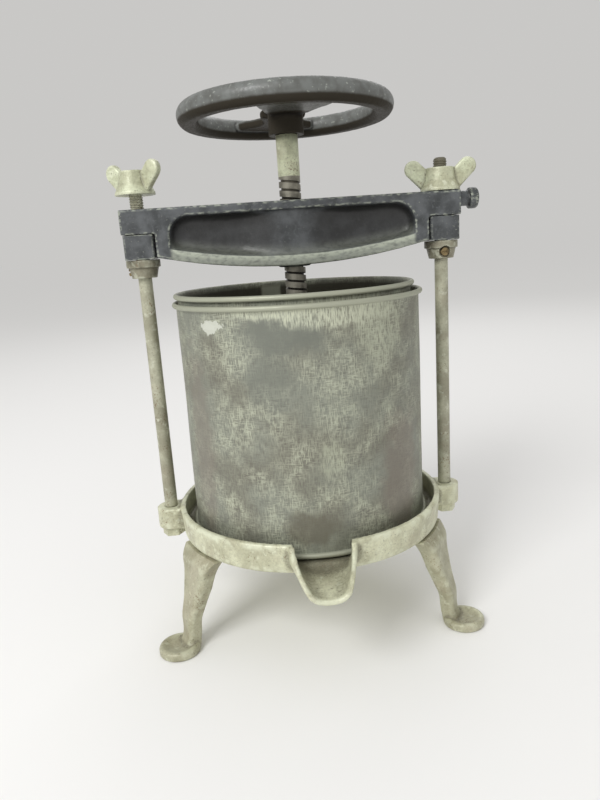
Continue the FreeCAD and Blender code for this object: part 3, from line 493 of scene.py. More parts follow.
@dataclass(frozen=True)
class Tinplate(Finish):
    """Dull tinplate, scoured in short strokes up and across by years of wiping, with stains."""

    radius: float = 72.3 * MM
    grey: Colour = (0.205, 0.215, 0.18)
    brown: Colour = (0.15, 0.14, 0.108)
    cream: Colour = (0.50, 0.52, 0.40)
    # The colour of the basket's inside: fruit stain and painted shade.
    dark: Colour = (0.050, 0.046, 0.029)
    solder: Colour = (0.37, 0.38, 0.295)
    stains: tuple[Stain, ...] = ()
    stain_depth: float = 0.6
    roughness: float = 0.46
    metallic: float = 0.3
    relief: float = 0.03 * MM
    stroke: float = 0.6 * MM
    broad: Patches = Patches(30 * MM, 3.0, Ease(0.36, 0.68))
    clouds: Patches = Patches(17 * MM, 4.0, Ease(0.34, 0.68, 0.25, 1.0), 5.0)
    smears: Patches = Patches(5 * MM, 4.0, Ease(0.34, 0.70), 21.0, (1.0, 1.0, 1.4))
    upstrokes: Ease = Ease(0.44, 0.64)
    cross_strokes: Ease = Ease(0.46, 0.68, 0.0, 0.95)
    scratches: Ease = Ease(0.28, 0.42, 1.0, 0.0)
    hatching: Ease = Ease(0.34, 0.60, 0.2, 1.0)
    brown_share: float = 0.75
    stroke_share: float = 0.66
    smear_share: float = 0.3
    scratch_share: float = 0.6

    def lay(self, sheet: ShaderSheet) -> None:
        """Lay clouded grey, then wiped strokes, scratches and stains with a painted sheen and a painted glint
        among them, the inside darkened as fruit stain and painted shade, and the solder, which on the beads
        is a painted highlight.

        Args:
            sheet: The material's nodes.
        """
        upright = sheet.noise(self.stroke, 3.0, 0.0, (1.0, 1.0, 6.0))
        across = sheet.noise(self.stroke, 3.0, 8.0, (6.0, 6.0, 1.0))
        strokes = sheet.work("MAXIMUM", sheet.ramp(upright, self.upstrokes),
                             sheet.ramp(across, self.cross_strokes))
        scratches = sheet.work("MAXIMUM", *(sheet.ramp(way, self.scratches) for way in (upright, across)))
        wiped = sheet.work("ADD", sheet.times(strokes, self.stroke_share),
                           sheet.times(sheet.patches(self.smears), self.smear_share))
        colour = sheet.layers(
            self.grey,
            (sheet.times(sheet.patches(self.broad), self.brown_share), self.brown),
            (sheet.times(sheet.patches(self.clouds), wiped), self.cream),
            (sheet.times(scratches, self.scratch_share), self.brown),
            *((self.stained(sheet, stain, upright), stain.colour) for stain in self.stains),
            (sheet.mark(Mark.DIRT_AND_SHADE), self.dark),
            (sheet.mark(Mark.WORN_AND_SHEEN), self.solder))
        roughness = sheet.ramp(upright, Ease(0.3, 0.7, self.roughness - 0.06, self.roughness + 0.1))
        sheet.dress(colour, roughness, self.metallic, strokes, self.relief)

    def stained(self, sheet: ShaderSheet, stain: Stain, upright: Socket) -> Socket:
        """Where one stain lies.

        Args:
            sheet: The material's nodes.
            stain: The stain.
            upright: The upright strokes, which break up a hatched stain.

        Returns:
            The stain's share.
        """
        turn = math.radians(stain.turn)
        centre = (self.radius * math.cos(turn), self.radius * math.sin(turn), stain.height)
        width, deep = (max(stain.width * abs(part), stain.width * self.stain_depth)
                       for part in (math.sin(turn), math.cos(turn)))
        spot = sheet.spot(centre, (width, deep, stain.tall), stain.ragged, stain.soft)
        if stain.hatched:
            spot = sheet.times(spot, sheet.ramp(upright, self.hatching))
        return sheet.times(spot, stain.strength)


@dataclass(frozen=True)
class OiledSteel(Finish):
    """Dark oiled steel, lighter where it rubs."""

    dark: Colour = (0.020, 0.017, 0.012)
    lit_tan: Colour = (0.11, 0.10, 0.078)
    rubbed: Colour = (0.29, 0.275, 0.225)
    groove_radius: float = 5.2 * MM
    crest_radius: float = 6.2 * MM
    lit_over: float = 256 * MM
    lit_fade: float = 8 * MM
    roughness: float = 0.42
    metallic: float = 0.6
    relief: float = 0.06 * MM
    rubs: Patches = Patches(5 * MM, 5.0, Ease(0.3, 0.6, 0.45, 1.0))

    def lay(self, sheet: ShaderSheet) -> None:
        """Lay dark oil, then a lighter tan over the crossbar as painted light, leaving the length under the
        crossbar darker as painted shade, and bare steel on the thread's crest.

        Args:
            sheet: The material's nodes.
        """
        crest = sheet.ramp(sheet.axis_distance(), Ease(self.groove_radius, self.crest_radius))
        # Lighter above the crossbar: painted light; the darker length below stands for the crossbar's shade.
        lit_above_bar = sheet.ramp(sheet.height(), Ease(self.lit_over, self.lit_over + self.lit_fade))
        colour = sheet.layers(self.dark, (lit_above_bar, self.lit_tan),
                              (sheet.times(crest, sheet.patches(self.rubs)), self.rubbed))
        fine = sheet.noise(0.8 * MM, 4.0)
        sheet.dress(colour, sheet.grained(fine, self.roughness, 0.1, 0.15), self.metallic, fine, self.relief)


@dataclass(frozen=True)
class PlainMetal(Finish):
    """A small metal piece of one colour, a little tarnished."""

    colour: Colour
    tarnish: Colour
    roughness: float
    metallic: float
    relief: float = 0.06 * MM
    clouds: Patches = Patches(2.4 * MM, 5.0, Ease(0.42, 0.66))

    def lay(self, sheet: ShaderSheet) -> None:
        """Lay the metal, and the tarnish in clouds.

        Args:
            sheet: The material's nodes.
        """
        colour = sheet.mix(sheet.patches(self.clouds), self.colour, self.tarnish)
        fine = sheet.noise(0.8 * MM, 4.0)
        sheet.dress(colour, sheet.grained(fine, self.roughness, 0.08, 0.12), self.metallic, fine, self.relief)


def placed(name: str, data: Any) -> bpy.types.Object:
    """A new object of the scene, at the origin.

    Args:
        name: Its name.
        data: Its mesh, lamp or camera.

    Returns:
        The object.
    """
    thing = bpy.data.objects.new(name, data)
    bpy.context.scene.collection.objects.link(thing)
    return thing


def evaluated(thing: bpy.types.Object, name: str) -> Mesh:
    """The mesh of an object after its modifiers.

    Args:
        thing: The object.
        name: The new mesh's name.

    Returns:
        A new plain mesh.
    """
    bpy.context.view_layer.update()
    graph = bpy.context.evaluated_depsgraph_get()
    mesh = bpy.data.meshes.new_from_object(thing.evaluated_get(graph))
    mesh.name = name
    return mesh


def weld(source: Mesh, target: Mesh, outwards: bool = False) -> None:
    """Join a mesh's double points.

    Args:
        source: The mesh that is read.
        target: The mesh that takes the joined shape, which may be the same one.
        outwards: Whether the faces are turned outwards too.
    """
    shape = bmesh.new()
    shape.from_mesh(source)
    bmesh.ops.remove_doubles(shape, verts=shape.verts, dist=0.001 * MM)
    if outwards:
        bmesh.ops.recalc_face_normals(shape, faces=shape.faces)
    shape.to_mesh(target)
    shape.free()


def settle(name: str, mesh: Mesh, body: Body, slot: Slot, material: Material,
           *nodes: str) -> bpy.types.Object:
    """Put a finished mesh into the scene as a piece.

    Args:
        name: The piece's name.
        mesh: Its mesh, in the row frame.
        body: The body that it rides on.
        slot: The record's slot for its finish; not used.
        material: Its material.
        nodes: The CAD nodes that it stands for.

    Returns:
        The piece.
    """
    mesh.materials.clear()
    mesh.materials.append(material)
    piece = placed(name, mesh)
    if nodes:
        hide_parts(*nodes)
    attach(piece, body.value)
    log.info("%s: %d faces on %s", name, len(mesh.polygons), body.value)
    return piece


class ShapeTree(NodeSheet):
    """A Geometry Nodes tree with named sizes, which ends in one plain mesh."""

    def __init__(self, name: str) -> None:
        """Start a tree that takes and gives a geometry."""
        super().__init__(bpy.data.node_groups.new(name, "GeometryNodeTree"))
        self.sizes: dict[str, str] = {}
        for way in ("OUTPUT", "INPUT"):
            self.tree.interface.new_socket("Geometry", in_out=way, socket_type="NodeSocketGeometry")
        self.source = self.tree.nodes.new("NodeGroupInput")

    def size(self, name: str, kind: str = "NodeSocketFloat") -> Socket:
        """Add a named input.

        Args:
            name: The input's name.
            kind: Its type.

        Returns:
            Its socket inside the tree.
        """
        item = self.tree.interface.new_socket(name, in_out="INPUT", socket_type=kind)
        self.sizes[name] = item.identifier
        return next(s for s in self.source.outputs if s.identifier == item.identifier)

    def close(self, geometry: Socket) -> None:
        """End the tree: instances become real and take the piece's material.

        Args:
            geometry: What the tree has made.
        """
        real = self.add("GeometryNodeRealizeInstances", {"Geometry": geometry})
        material = self.size("Material", "NodeSocketMaterial")
        dressed = self.add("GeometryNodeSetMaterial", {"Geometry": real.outputs["Geometry"],
                                                       "Material": material})
        self.add("NodeGroupOutput", {"Geometry": dressed.outputs["Geometry"]})

    def grow(self, name: str, start: Mesh, values: dict[str, Any]) -> Mesh:
        """Run the tree on a mesh.

        Args:
            name: The new mesh's name.
            start: The mesh that goes in.
            values: The value of each named input.

        Returns:
            The mesh that comes out.
        """
        holder = placed(name, start)
        modifier = holder.modifiers.new(name, "NODES")
        modifier.node_group = self.tree
        for key, value in values.items():
            modifier[self.sizes[key]] = value
        mesh = evaluated(holder, name)
        holder.modifiers.remove(modifier)
        bpy.data.objects.remove(holder)
        return mesh


class Surface:
    """A mesh as arrays, for smoothing and for finding its edges and hollows."""

    pull = 0.5

    def __init__(self, mesh: Mesh) -> None:
        """Read a mesh's points and edges."""
        self.mesh = mesh
        self.count = len(mesh.vertices)
        self.points = self.vectors("co")
        edges = np.zeros(len(mesh.edges) * 2, dtype=np.int64)
        mesh.edges.foreach_get("vertices", edges)
        self.ends = np.concatenate([edges.reshape(-1, 2), edges.reshape(-1, 2)[:, ::-1]])
        self.degree = np.maximum(np.bincount(self.ends[:, 0], minlength=self.count), 1)

    def vectors(self, name: str) -> np.ndarray:
        """A vector that each point has, such as its place.

        Args:
            name: Blender's name for it.

        Returns:
            One row for each point.
        """
        values = np.zeros(self.count * 3)
        self.mesh.vertices.foreach_get(name, values)
        return values.reshape(-1, 3)

    def normals(self) -> np.ndarray:
        """Each point's normal."""
        return self.vectors("normal")

    def around(self, values: np.ndarray) -> np.ndarray:
        """The mean of each point's neighbours."""
        columns = [np.bincount(self.ends[:, 0], values[self.ends[:, 1], k], self.count) for k in range(3)]
        return np.stack(columns, axis=1) / self.degree[:, None]

    def smooth(self, rounds: int, push: float = -0.52, where: Any = 1.0) -> None:
        """Smooth the points.

        Args:
            rounds: How often.
            push: How far a point moves back after each pull, so that the shape does not shrink.
            where: The share of this that each point takes.
        """
        for _ in range(rounds):
            for share in (self.pull, push):
                self.points += share * where * (self.around(self.points) - self.points)
        self.write()

    def write(self) -> None:
        """Give the points back to the mesh."""
        self.mesh.vertices.foreach_set("co", self.points.ravel())
        self.mesh.update()

    def mark_relief(self, rounds: int, depth: float, soot_and_shade: Any) -> None:
        """Store where the surface stands out, and where it lies low, which the finishes darken as soiling and
        painted shade.

        Args:
            rounds: How wide a stretch each point is compared with.
            depth: The relief that counts as full, in metres.
            soot_and_shade: How dark each point is at least, as painted shade.
        """
        soft = self.points.copy()
        for _ in range(rounds):
            soft += self.pull * (self.around(soft) - soft)
        relief = np.einsum("ij,ij->i", self.points - soft, self.normals()) / depth
        self.store(Mark.EDGE, np.clip(relief, 0.0, 1.0) * (1.0 - np.clip(soot_and_shade, 0.0, 1.0)))
        # Recesses darken as soiling and painted shade, with the painted shade passed in on top.
        self.store(Mark.DIRT_AND_SHADE, np.maximum(np.clip(-relief, 0.0, 1.0), soot_and_shade))

    def store(self, mark: Mark, values: np.ndarray) -> None:
        """Keep one value for each point of the mesh."""
        layer = self.mesh.attributes.new(mark.value, "FLOAT", "POINT")
        layer.data.foreach_set("value", values.astype(np.float32))


class CastSkin:
    """The slight unevenness of sand-cast iron, which only takes metal away."""

    detail = 3.0

    def __init__(self) -> None:
        """Build the tree."""
        tree = ShapeTree("cast_skin")
        depth, grain = tree.size("Depth"), tree.size("Grain")
        scale = tree.work("DIVIDE", 1.0, grain)
        noise = tree.add("ShaderNodeTexNoise", {"Scale": scale, "Detail": self.detail})
        normal = tree.add("GeometryNodeInputNormal", {})
        inwards = tree.work("MULTIPLY", noise.outputs["Fac"], tree.work("MULTIPLY", depth, -1.0))
        offset = tree.add("ShaderNodeVectorMath", {0: normal.outputs["Normal"], "Scale": inwards},
                          operation="SCALE")
        moved = tree.add("GeometryNodeSetPosition", {"Geometry": tree.source.outputs["Geometry"],
                                                     "Offset": offset.outputs["Vector"]})
        tree.close(moved.outputs["Geometry"])
        self.tree = tree

    def cover(self, name: str, mesh: Mesh, depth: float, grain: float) -> Mesh:
        """The mesh with its surface roughened to a depth, in grains of a width."""
        return self.tree.grow(name, mesh, {"Depth": depth, "Grain": grain})


def eased(values: np.ndarray, low: float, high: float) -> np.ndarray:
    """Values eased from 0 at low to 1 at high."""
    share = np.clip((values - low) / (high - low), 0.0, 1.0)
    return share * share * (3.0 - 2.0 * share)


class Wear(Protocol):
    """Where a casting's paint is rubbed off, with painted sheens and highlights among the rubbing, or where
    painted shade lies on it.
    """

    def share(self, points: np.ndarray, normals: np.ndarray) -> np.ndarray:
        """How strong it is at each point."""


@dataclass(frozen=True)
class BarWearAndSheen:
    """The crossbar's wear: its lower flange has lost most paint. A dip leaves the band's upper edge lighter
    than its middle as a painted edge highlight, and the cove over it carries a painted sheen.
    """

    half_span: float = 79.3 * MM
    belly_drop: float = 9.4 * MM
    boss_drop: float = 0.8 * MM
    low_flange: float = 6.2 * MM
    band_half: float = 72.0 * MM
    band_fade: float = 2.5 * MM
    fade: float = 0.5 * MM
    facing: Span = (0.3, 0.8)
    dip: float = 0.38
    dip_start: Span = (1.8 * MM, 3.4 * MM)
    dip_end: Span = (5.9 * MM, 4.9 * MM)
    cove: float = 8.0 * MM
    sheen: float = 0.24

    def share(self, points: np.ndarray, normals: np.ndarray) -> np.ndarray:
        """How much is rubbed off.

        Args:
            points: The crossbar's points, in metres.
            normals: Their normals.

        Returns:
            A share from 0 to 1 for each point.
        """
        low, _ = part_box("crossbar")
        radius = (self.half_span ** 2 + self.belly_drop ** 2) / (2 * self.belly_drop)
        middle = low.z + self.boss_drop + radius
        depth = np.hypot(points[:, 0], points[:, 2] - middle) - (radius - self.low_flange)
        inside = eased(np.abs(points[:, 0]), self.band_half, self.band_half - self.band_fade)
        # The dip darkens the band's middle, so that its upper edge stands out as a painted edge highlight.
        dip = self.dip * eased(depth, *self.dip_start) * eased(depth, *self.dip_end)
        facing = eased(np.abs(normals[:, 1]), *self.facing)
        flange = eased(depth, -self.fade, self.fade) * facing * (1.0 - dip)
        # The cove over the band: a painted sheen.
        cove = self.sheen * eased(depth, -self.cove, 0.0) * eased(depth, self.fade, -self.fade)
        return inside * np.maximum(flange, cove)


@dataclass(frozen=True)
class PocketShade:
    """Painted shade in the crossbar's pockets, darkest under the upper flange, where it stands for the
    flange's shadow.
    """

    face: float = 11.0 * MM
    sunk: Span = (0.8 * MM, 3.5 * MM)
    half_span: float = 73.5 * MM
    end_fade: float = 4 * MM
    darker_up: Span = (18.0 * MM, 31.0 * MM)
    least: float = 0.8

    def share(self, points: np.ndarray, normals: np.ndarray) -> np.ndarray:
        """How dark the painted shade is.

        Args:
            points: The crossbar's points, in metres.
            normals: Their normals; not used.

        Returns:
            A share from 0 to 1 for each point.
        """
        low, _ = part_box("crossbar")
        sunk = eased(self.face - np.abs(points[:, 1]), *self.sunk)
        inside = eased(np.abs(points[:, 0]), self.half_span, self.half_span - self.end_fade)
        # Painted shade, deepening towards the upper flange.
        darkness = self.least + (1.0 - self.least) * eased(points[:, 2] - low.z, *self.darker_up)
        return sunk * inside * darkness


@dataclass(frozen=True)
class FloorShadow:
    """A painted shadow on the drip tray's floor round the tin's foot, darkest at the foot, which fades out
    along the spout.
    """

    top: float = 65.5 * MM
    top_fade: float = 2 * MM
    level: Span = (0.2, 0.7)
    root: float = 81.0 * MM
    near: float = 90.0 * MM
    far: float = 106.0 * MM
    # The weaker painted shadow that reaches further along the spout.
    film: float = 0.65

    def share(self, points: np.ndarray, normals: np.ndarray) -> np.ndarray:
        """How dark it is.

        Args:
            points: The tray's points, in metres.
            normals: Their normals.

        Returns:
            A value for each point, where 1 is as dark as the darkest recess.
        """
        floor = eased(points[:, 2], self.top + self.top_fade, self.top) * eased(normals[:, 2], *self.level)
        reach = np.hypot(points[:, 0], points[:, 1])
        return floor * (self.film * eased(reach, self.far, self.root) + eased(reach, self.near, self.root))


@dataclass(frozen=True)
class RimWear:
    """The handwheel's wear: hands have rubbed the rim's upper part all round. The spokes are a little lighter
    where they face the front or upwards, partly rubbed and partly a painted highlight on the front spoke.
    """

    rim_half_height: float = 5.8 * MM
    rim_inner: float = 46.8 * MM
    rim_fade: float = 1.0 * MM
    upper: Span = (-0.52, -0.22)
    hub: float = 13.0 * MM
    hub_fade: float = 6 * MM
    front: Span = (-6 * MM, 10 * MM)
    level: Span = (0.1, 0.5)
    spokes: float = 0.45

    def share(self, points: np.ndarray, normals: np.ndarray) -> np.ndarray:
        """How much is rubbed off.

        Args:
            points: The handwheel's points, in metres.
            normals: Their normals.

        Returns:
            A share from 0 to 1 for each point.
        """
        _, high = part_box("handwheel")
        rise = (points[:, 2] - high.z) / self.rim_half_height + 1.0
        reach = np.hypot(points[:, 0], points[:, 1])
        rim = eased(reach, self.rim_inner - self.rim_fade, self.rim_inner + self.rim_fade)
        shown = np.maximum(eased(-points[:, 1], *self.front), eased(normals[:, 2], *self.level))
        # Partly rubbing, partly a painted highlight on the front spoke.
        spokes = self.spokes * shown * eased(reach, self.hub, self.hub + self.hub_fade)
        return rim * eased(rise, *self.upper) + (1.0 - rim) * spokes


@dataclass(frozen=True)
class Fillet:
    """A stretch of a casting whose corners are rounded more: two corners of a box, in millimetres."""

    low: Point
    high: Point
    rounds: int
    fade: float = 2.5

    def share(self, points: np.ndarray) -> np.ndarray:
        """How much each point takes part, from 0 to 1, as a column."""
        inside = np.minimum(points - np.array(self.low) * MM, np.array(self.high) * MM - points).min(axis=1)
        return eased(inside, 0.0, self.fade * MM)[:, None]


@dataclass(frozen=True)
class LegForm:
    """A leg's finer form: its top follows the tray's round edge, and its shin is full and bows outwards."""

    turn: float
    edge: float = 82.2 * MM
    top: float = 58.0 * MM
    tucked_over: float = 38 * MM
    lean: float = 0.8
    full: float = 0.22
    shin_low: Span = (10 * MM, 24 * MM)
    shin_high: Span = (50 * MM, 36 * MM)
    push: float = 3.2 * MM
    ankle: Span = (7 * MM, 22 * MM)

    def shaped(self, points: np.ndarray) -> np.ndarray:
        """Move points to the finer form.

        Args:
            points: The leg's points, in metres.

        Returns:
            The moved points.
        """
        turn = math.radians(self.turn)
        out, side = np.array((math.cos(turn), math.sin(turn))), np.array((-math.sin(turn), math.cos(turn)))
        flat, rise = points[:, :2], points[:, 2]
        swell = self.full * eased(rise, *self.shin_low) * eased(rise, *self.shin_high)
        push = self.push * eased(rise, *self.ankle)
        moved = np.outer(flat @ out + push, out) + np.outer(flat @ side * (1.0 + swell), side)
        limit = self.edge + self.lean * np.clip(self.top - rise, 0.0, None)
        reach = np.linalg.norm(moved, axis=1)
        moved *= np.where(rise > self.tucked_over, np.minimum(1.0, limit / reach), 1.0)[:, None]
        return np.column_stack([moved, rise])


@dataclass(frozen=True)
class WheelForm:
    """The handwheel's finer form: a fuller rim, a broad front spoke and a waisted back one."""

    hub: float = 13.0 * MM
    inner: float = 50.9 * MM
    fuller: float = 2.0 * MM
    rim_fade: float = 6 * MM
    spoke_end: Span = (30 * MM, 46 * MM)
    broad: float = 0.10
    slim: float = 0.40
    side_fade: float = 14 * MM
    waist: float = 1.5

    def shaped(self, points: np.ndarray) -> np.ndarray:
        """Move points to the finer form.

        Args:
            points: The wheel's points, in metres.

        Returns:
            The moved points.
        """
        x, y, z = points.T
        reach = np.hypot(x, y)
        along = np.clip((reach - self.hub) / (self.inner - self.hub), 0.0, 1.0)
        share = self.broad * eased(-y, 0.0, self.side_fade) - self.slim * eased(y, 0.0, self.side_fade)
        x = x * (1.0 + share * np.sin(math.pi * along) ** self.waist)
        inwards = self.fuller * eased(reach, self.inner + self.rim_fade, self.inner)
        scale = 1.0 - inwards * eased(reach, *self.spoke_end) / np.maximum(reach, MM)
        return np.column_stack([x * scale, y * scale, z])


@dataclass
class Casting:
    """A cast piece: its solid with softened edges and a sand-cast skin."""

    node: str
    body: Body
    slot: Slot
    voxel: float
    smoothing: int = 3
    depth: float = 0.22 * MM
    grain: float = 2.6 * MM
    relief_rounds: int = 14
    relief: float = 0.16 * MM
    wear: Wear | None = None
    soot_and_shade: Wear | None = None
    form: LegForm | WheelForm | None = None
    fillet: Fillet | None = None

    def build(self, skin: CastSkin, material: Material) -> bpy.types.Object:
        """Build the piece.

        Args:
            skin: What roughens the surface.
            material: The piece's finish.

        Returns:
            The piece, which stands for its node.
        """
        mesh = self.remeshed()
        surface = Surface(mesh)
        if self.form:
            surface.points = self.form.shaped(surface.points)
        surface.smooth(self.smoothing)
        if self.fillet:
            surface.smooth(self.fillet.rounds, push=0.0, where=self.fillet.share(surface.points))
        mesh = skin.cover(self.node, mesh, self.depth, self.grain)
        mesh.shade_smooth()
        surface = Surface(mesh)
        soot_and_shade = self.soot_and_shade.share(surface.points, surface.normals()) if self.soot_and_shade else 0.0
        surface.mark_relief(self.relief_rounds, self.relief, soot_and_shade)
        if self.wear:
            surface.store(Mark.WORN_AND_SHEEN, self.wear.share(surface.points, surface.normals()))
        return settle(f"cast_{self.node}", mesh, self.body, self.slot, material, self.node)

    def remeshed(self) -> Mesh:
        """Copy the node's shape in even faces of the voxel's width.

        Returns:
            The copy.
        """
        mesh = bpy.data.meshes.new(self.node)
        weld(frame["nodes"][self.node].data, mesh)
        mesh.materials.clear()
        holder = placed(self.node, mesh)
        modifier = holder.modifiers.new("even_faces", "REMESH")
        modifier.mode = "VOXEL"
        modifier.voxel_size = self.voxel
        even = evaluated(holder, self.node)
        bpy.data.objects.remove(holder)
        return even


def lathe(name: str, profile: Profile, sides: int, centre: float = 0.0) -> Mesh:
    """A closed profile turned about an upright axis.

    Args:
        name: The mesh's name.
        profile: Its points as radius and height, anticlockwise, in metres.
        sides: How many faces go round.
        centre: Where the axis stands along X, in metres.

    Returns:
        The mesh.
    """
    turns = np.linspace(0.0, 2 * math.pi, sides, endpoint=False)
    radius, height = np.array(profile).T
    x = centre + np.outer(np.cos(turns), radius)
    y = np.outer(np.sin(turns), radius)
    z = np.broadcast_to(height, x.shape)
    points = np.stack([x, y, z], axis=-1).reshape(-1, 3)
    count = len(profile)
    faces = []
    for i in range(sides):
        here, there = i * count, (i + 1) % sides * count
        for j in range(count):
            k = (j + 1) % count
            faces.append((here + j, there + j, there + k, here + k))
    mesh = bpy.data.meshes.new(name)
    mesh.from_pydata(points.tolist(), [], faces)
    weld(mesh, mesh, outwards=True)
    mesh.shade_smooth()
    return mesh


@dataclass(frozen=True)
class Thread:
    """A thread's pitch and section. The ridge bites a little into the core."""

    pitch: float
    core_radius: float
    crest_radius: float
    bite: float
    crest_width: float
    root_width: float


class ThreadTree:
    """A helical ridge on a round core, for the press screw and the rods."""

    sharp = 35.0
    steps = 40

    def __init__(self) -> None:
        """Build the tree."""
        tree = ShapeTree("thread")
        pitch, turns = tree.size("Pitch"), tree.size("Turns")
        middle, depth = tree.size("Middle radius"), tree.size("Depth")
        crest, root = tree.size("Crest width"), tree.size("Root width")
        start = tree.size("Start", "NodeSocketVector")
        length = tree.work("MULTIPLY", pitch, turns)
        spiral = tree.add("GeometryNodeCurveSpiral", {"Resolution": self.steps, "Rotations": turns,
                                                      "Height": length, "Start Radius": middle,
                                                      "End Radius": middle})
        upright = tree.add("GeometryNodeSetCurveNormal", {"Curve": spiral.outputs["Curve"]}, mode="Z_UP")
        section = tree.add("GeometryNodeCurvePrimitiveQuadrilateral",
                           {"Height": depth, "Bottom Width": root, "Top Width": crest, "Offset": 0.0},
                           mode="TRAPEZOID")
        turned = tree.add("GeometryNodeTransform", {"Geometry": section.outputs["Curve"],
                                                    "Rotation": (0.0, 0.0, math.pi / 2)})
        ridge = tree.add("GeometryNodeCurveToMesh", {"Curve": upright.outputs["Curve"],
                                                     "Profile Curve": turned.outputs["Geometry"],
                                                     "Fill Caps": True})
        moved = tree.add("GeometryNodeTransform", {"Geometry": ridge.outputs["Mesh"], "Translation": start})
        both = tree.add("GeometryNodeJoinGeometry", {"Geometry": moved.outputs["Geometry"]})
        tree.feed(both.inputs["Geometry"], tree.source.outputs["Geometry"])
        tree.close(both.outputs["Geometry"])
        self.tree = tree

    def cut(self, name: str, core: Mesh, thread: Thread, turns: float, start: Point,
            material: Material) -> Mesh:
        """Wind a ridge on a core.

        Args:
            name: The new mesh's name.
            core: The core, which may be empty.
            thread: The thread's sizes.
            turns: How often it goes round.
            start: The middle of its lower end, in metres.
            material: The finish.

        Returns:
            The core and its ridge as one mesh.
        """
        depth = thread.crest_radius - thread.core_radius + thread.bite
        mesh = self.tree.grow(name, core, {
            "Pitch": thread.pitch, "Turns": turns, "Middle radius": thread.crest_radius - depth / 2,
            "Depth": depth, "Crest width": thread.crest_width, "Root width": thread.root_width,
            "Start": start, "Material": material})
        mesh.shade_smooth()
        mesh.set_sharp_from_angle(angle=math.radians(self.sharp))
        return mesh


@dataclass
class PressScrew:
    """The press screw: a square thread, a painted shank and a stud."""

    thread: Thread = Thread(pitch=4.7 * MM, core_radius=5.1 * MM, crest_radius=6.30 * MM, bite=0.35 * MM,
                            crest_width=3.3 * MM, root_width=3.5 * MM)
    shank_radius: float = 6.35 * MM
    shank_length: float = 23.0 * MM
    shank_overlap: float = 1.0 * MM
    shank_round: float = 0.5 * MM
    shoulder_rise: float = 8.9 * MM
    thread_rise: float = 15.8 * MM
    tip_radius: float = 4.6 * MM
    stud_radius: float = 4.0 * MM
    chamfer: float = 0.8 * MM
    spare_turn: float = 0.5
    sides: int = 96

    def build(self, threads: ThreadTree, steel: Material, paint: Material) -> None:
        """Build the threaded length and the shank.

        Args:
            threads: What winds the thread.
            steel: The finish of the thread.
            paint: The finish of the shank.
        """
        low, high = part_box("press_screw")
        hub_low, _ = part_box("handwheel")
        shank_high = hub_low.z
        shank_low = shank_high - self.shank_length
        shoulder, thread_low = low.z + self.shoulder_rise, low.z + self.thread_rise
        core_radius, core_high = self.thread.core_radius, shank_low + self.shank_overlap
        core = lathe("press_screw_core", [
            (0.0, low.z), (self.tip_radius, low.z), (self.tip_radius, shoulder),
            (self.shank_radius, shoulder), (self.shank_radius, thread_low),
            (core_radius, thread_low + self.chamfer), (core_radius, core_high), (0.0, core_high)], self.sides)
        turns = (shank_low - thread_low) / self.thread.pitch + self.spare_turn
        start = (0.0, 0.0, thread_low + self.thread.pitch / 4)
        mesh = threads.cut("press_screw_thread", core, self.thread, turns, start, steel)
        settle("press_screw_thread", mesh, Body.SCREW, Slot.SCREW_STEEL, steel, "press_screw")
        shank = lathe("press_screw_shank", [
            (0.0, shank_low), (self.shank_radius - self.shank_round, shank_low),
            (self.shank_radius, shank_low + self.shank_round), (self.shank_radius, shank_high),
            (self.stud_radius, shank_high), (self.stud_radius, high.z - self.chamfer),
            (self.stud_radius - self.chamfer, high.z), (0.0, high.z)], self.sides)
        settle("press_screw_shank", shank, Body.SCREW, Slot.PAINTED_FITTING, paint, "press_screw")


@dataclass
class Rods:
    """Threads cut on the upper ends of the two upright rods."""

    thread: Thread = Thread(pitch=1.41 * MM, core_radius=3.6 * MM, crest_radius=3.95 * MM, bite=0.15 * MM,
                            crest_width=0.2 * MM, root_width=1.3 * MM)
    thread_length: float = 17.8 * MM
    tip_room: float = 1.6 * MM

    def build(self, threads: ThreadTree, material: Material) -> None:
        """Wind a thread on each rod's upper end.

        Args:
            threads: What winds the threads.
            material: Their finish.
        """
        for side in SIDES:
            name = f"rod_thread_{side}"
            low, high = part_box(f"rod_{side}")
            start = ((low.x + high.x) / 2, 0.0, high.z - self.tip_room - self.thread_length)
            turns = self.thread_length / self.thread.pitch
            mesh = threads.cut(name, bpy.data.meshes.new(name), self.thread, turns, start, material)
            settle(name, mesh, Body.FRAME, Slot.PAINTED_FITTING, material)


@dataclass(frozen=True)
class Wave:
    """One of the waves that add up to a tin wall's dents."""

    round_turns: int
    up_turns: float
    phase: float
    share: float


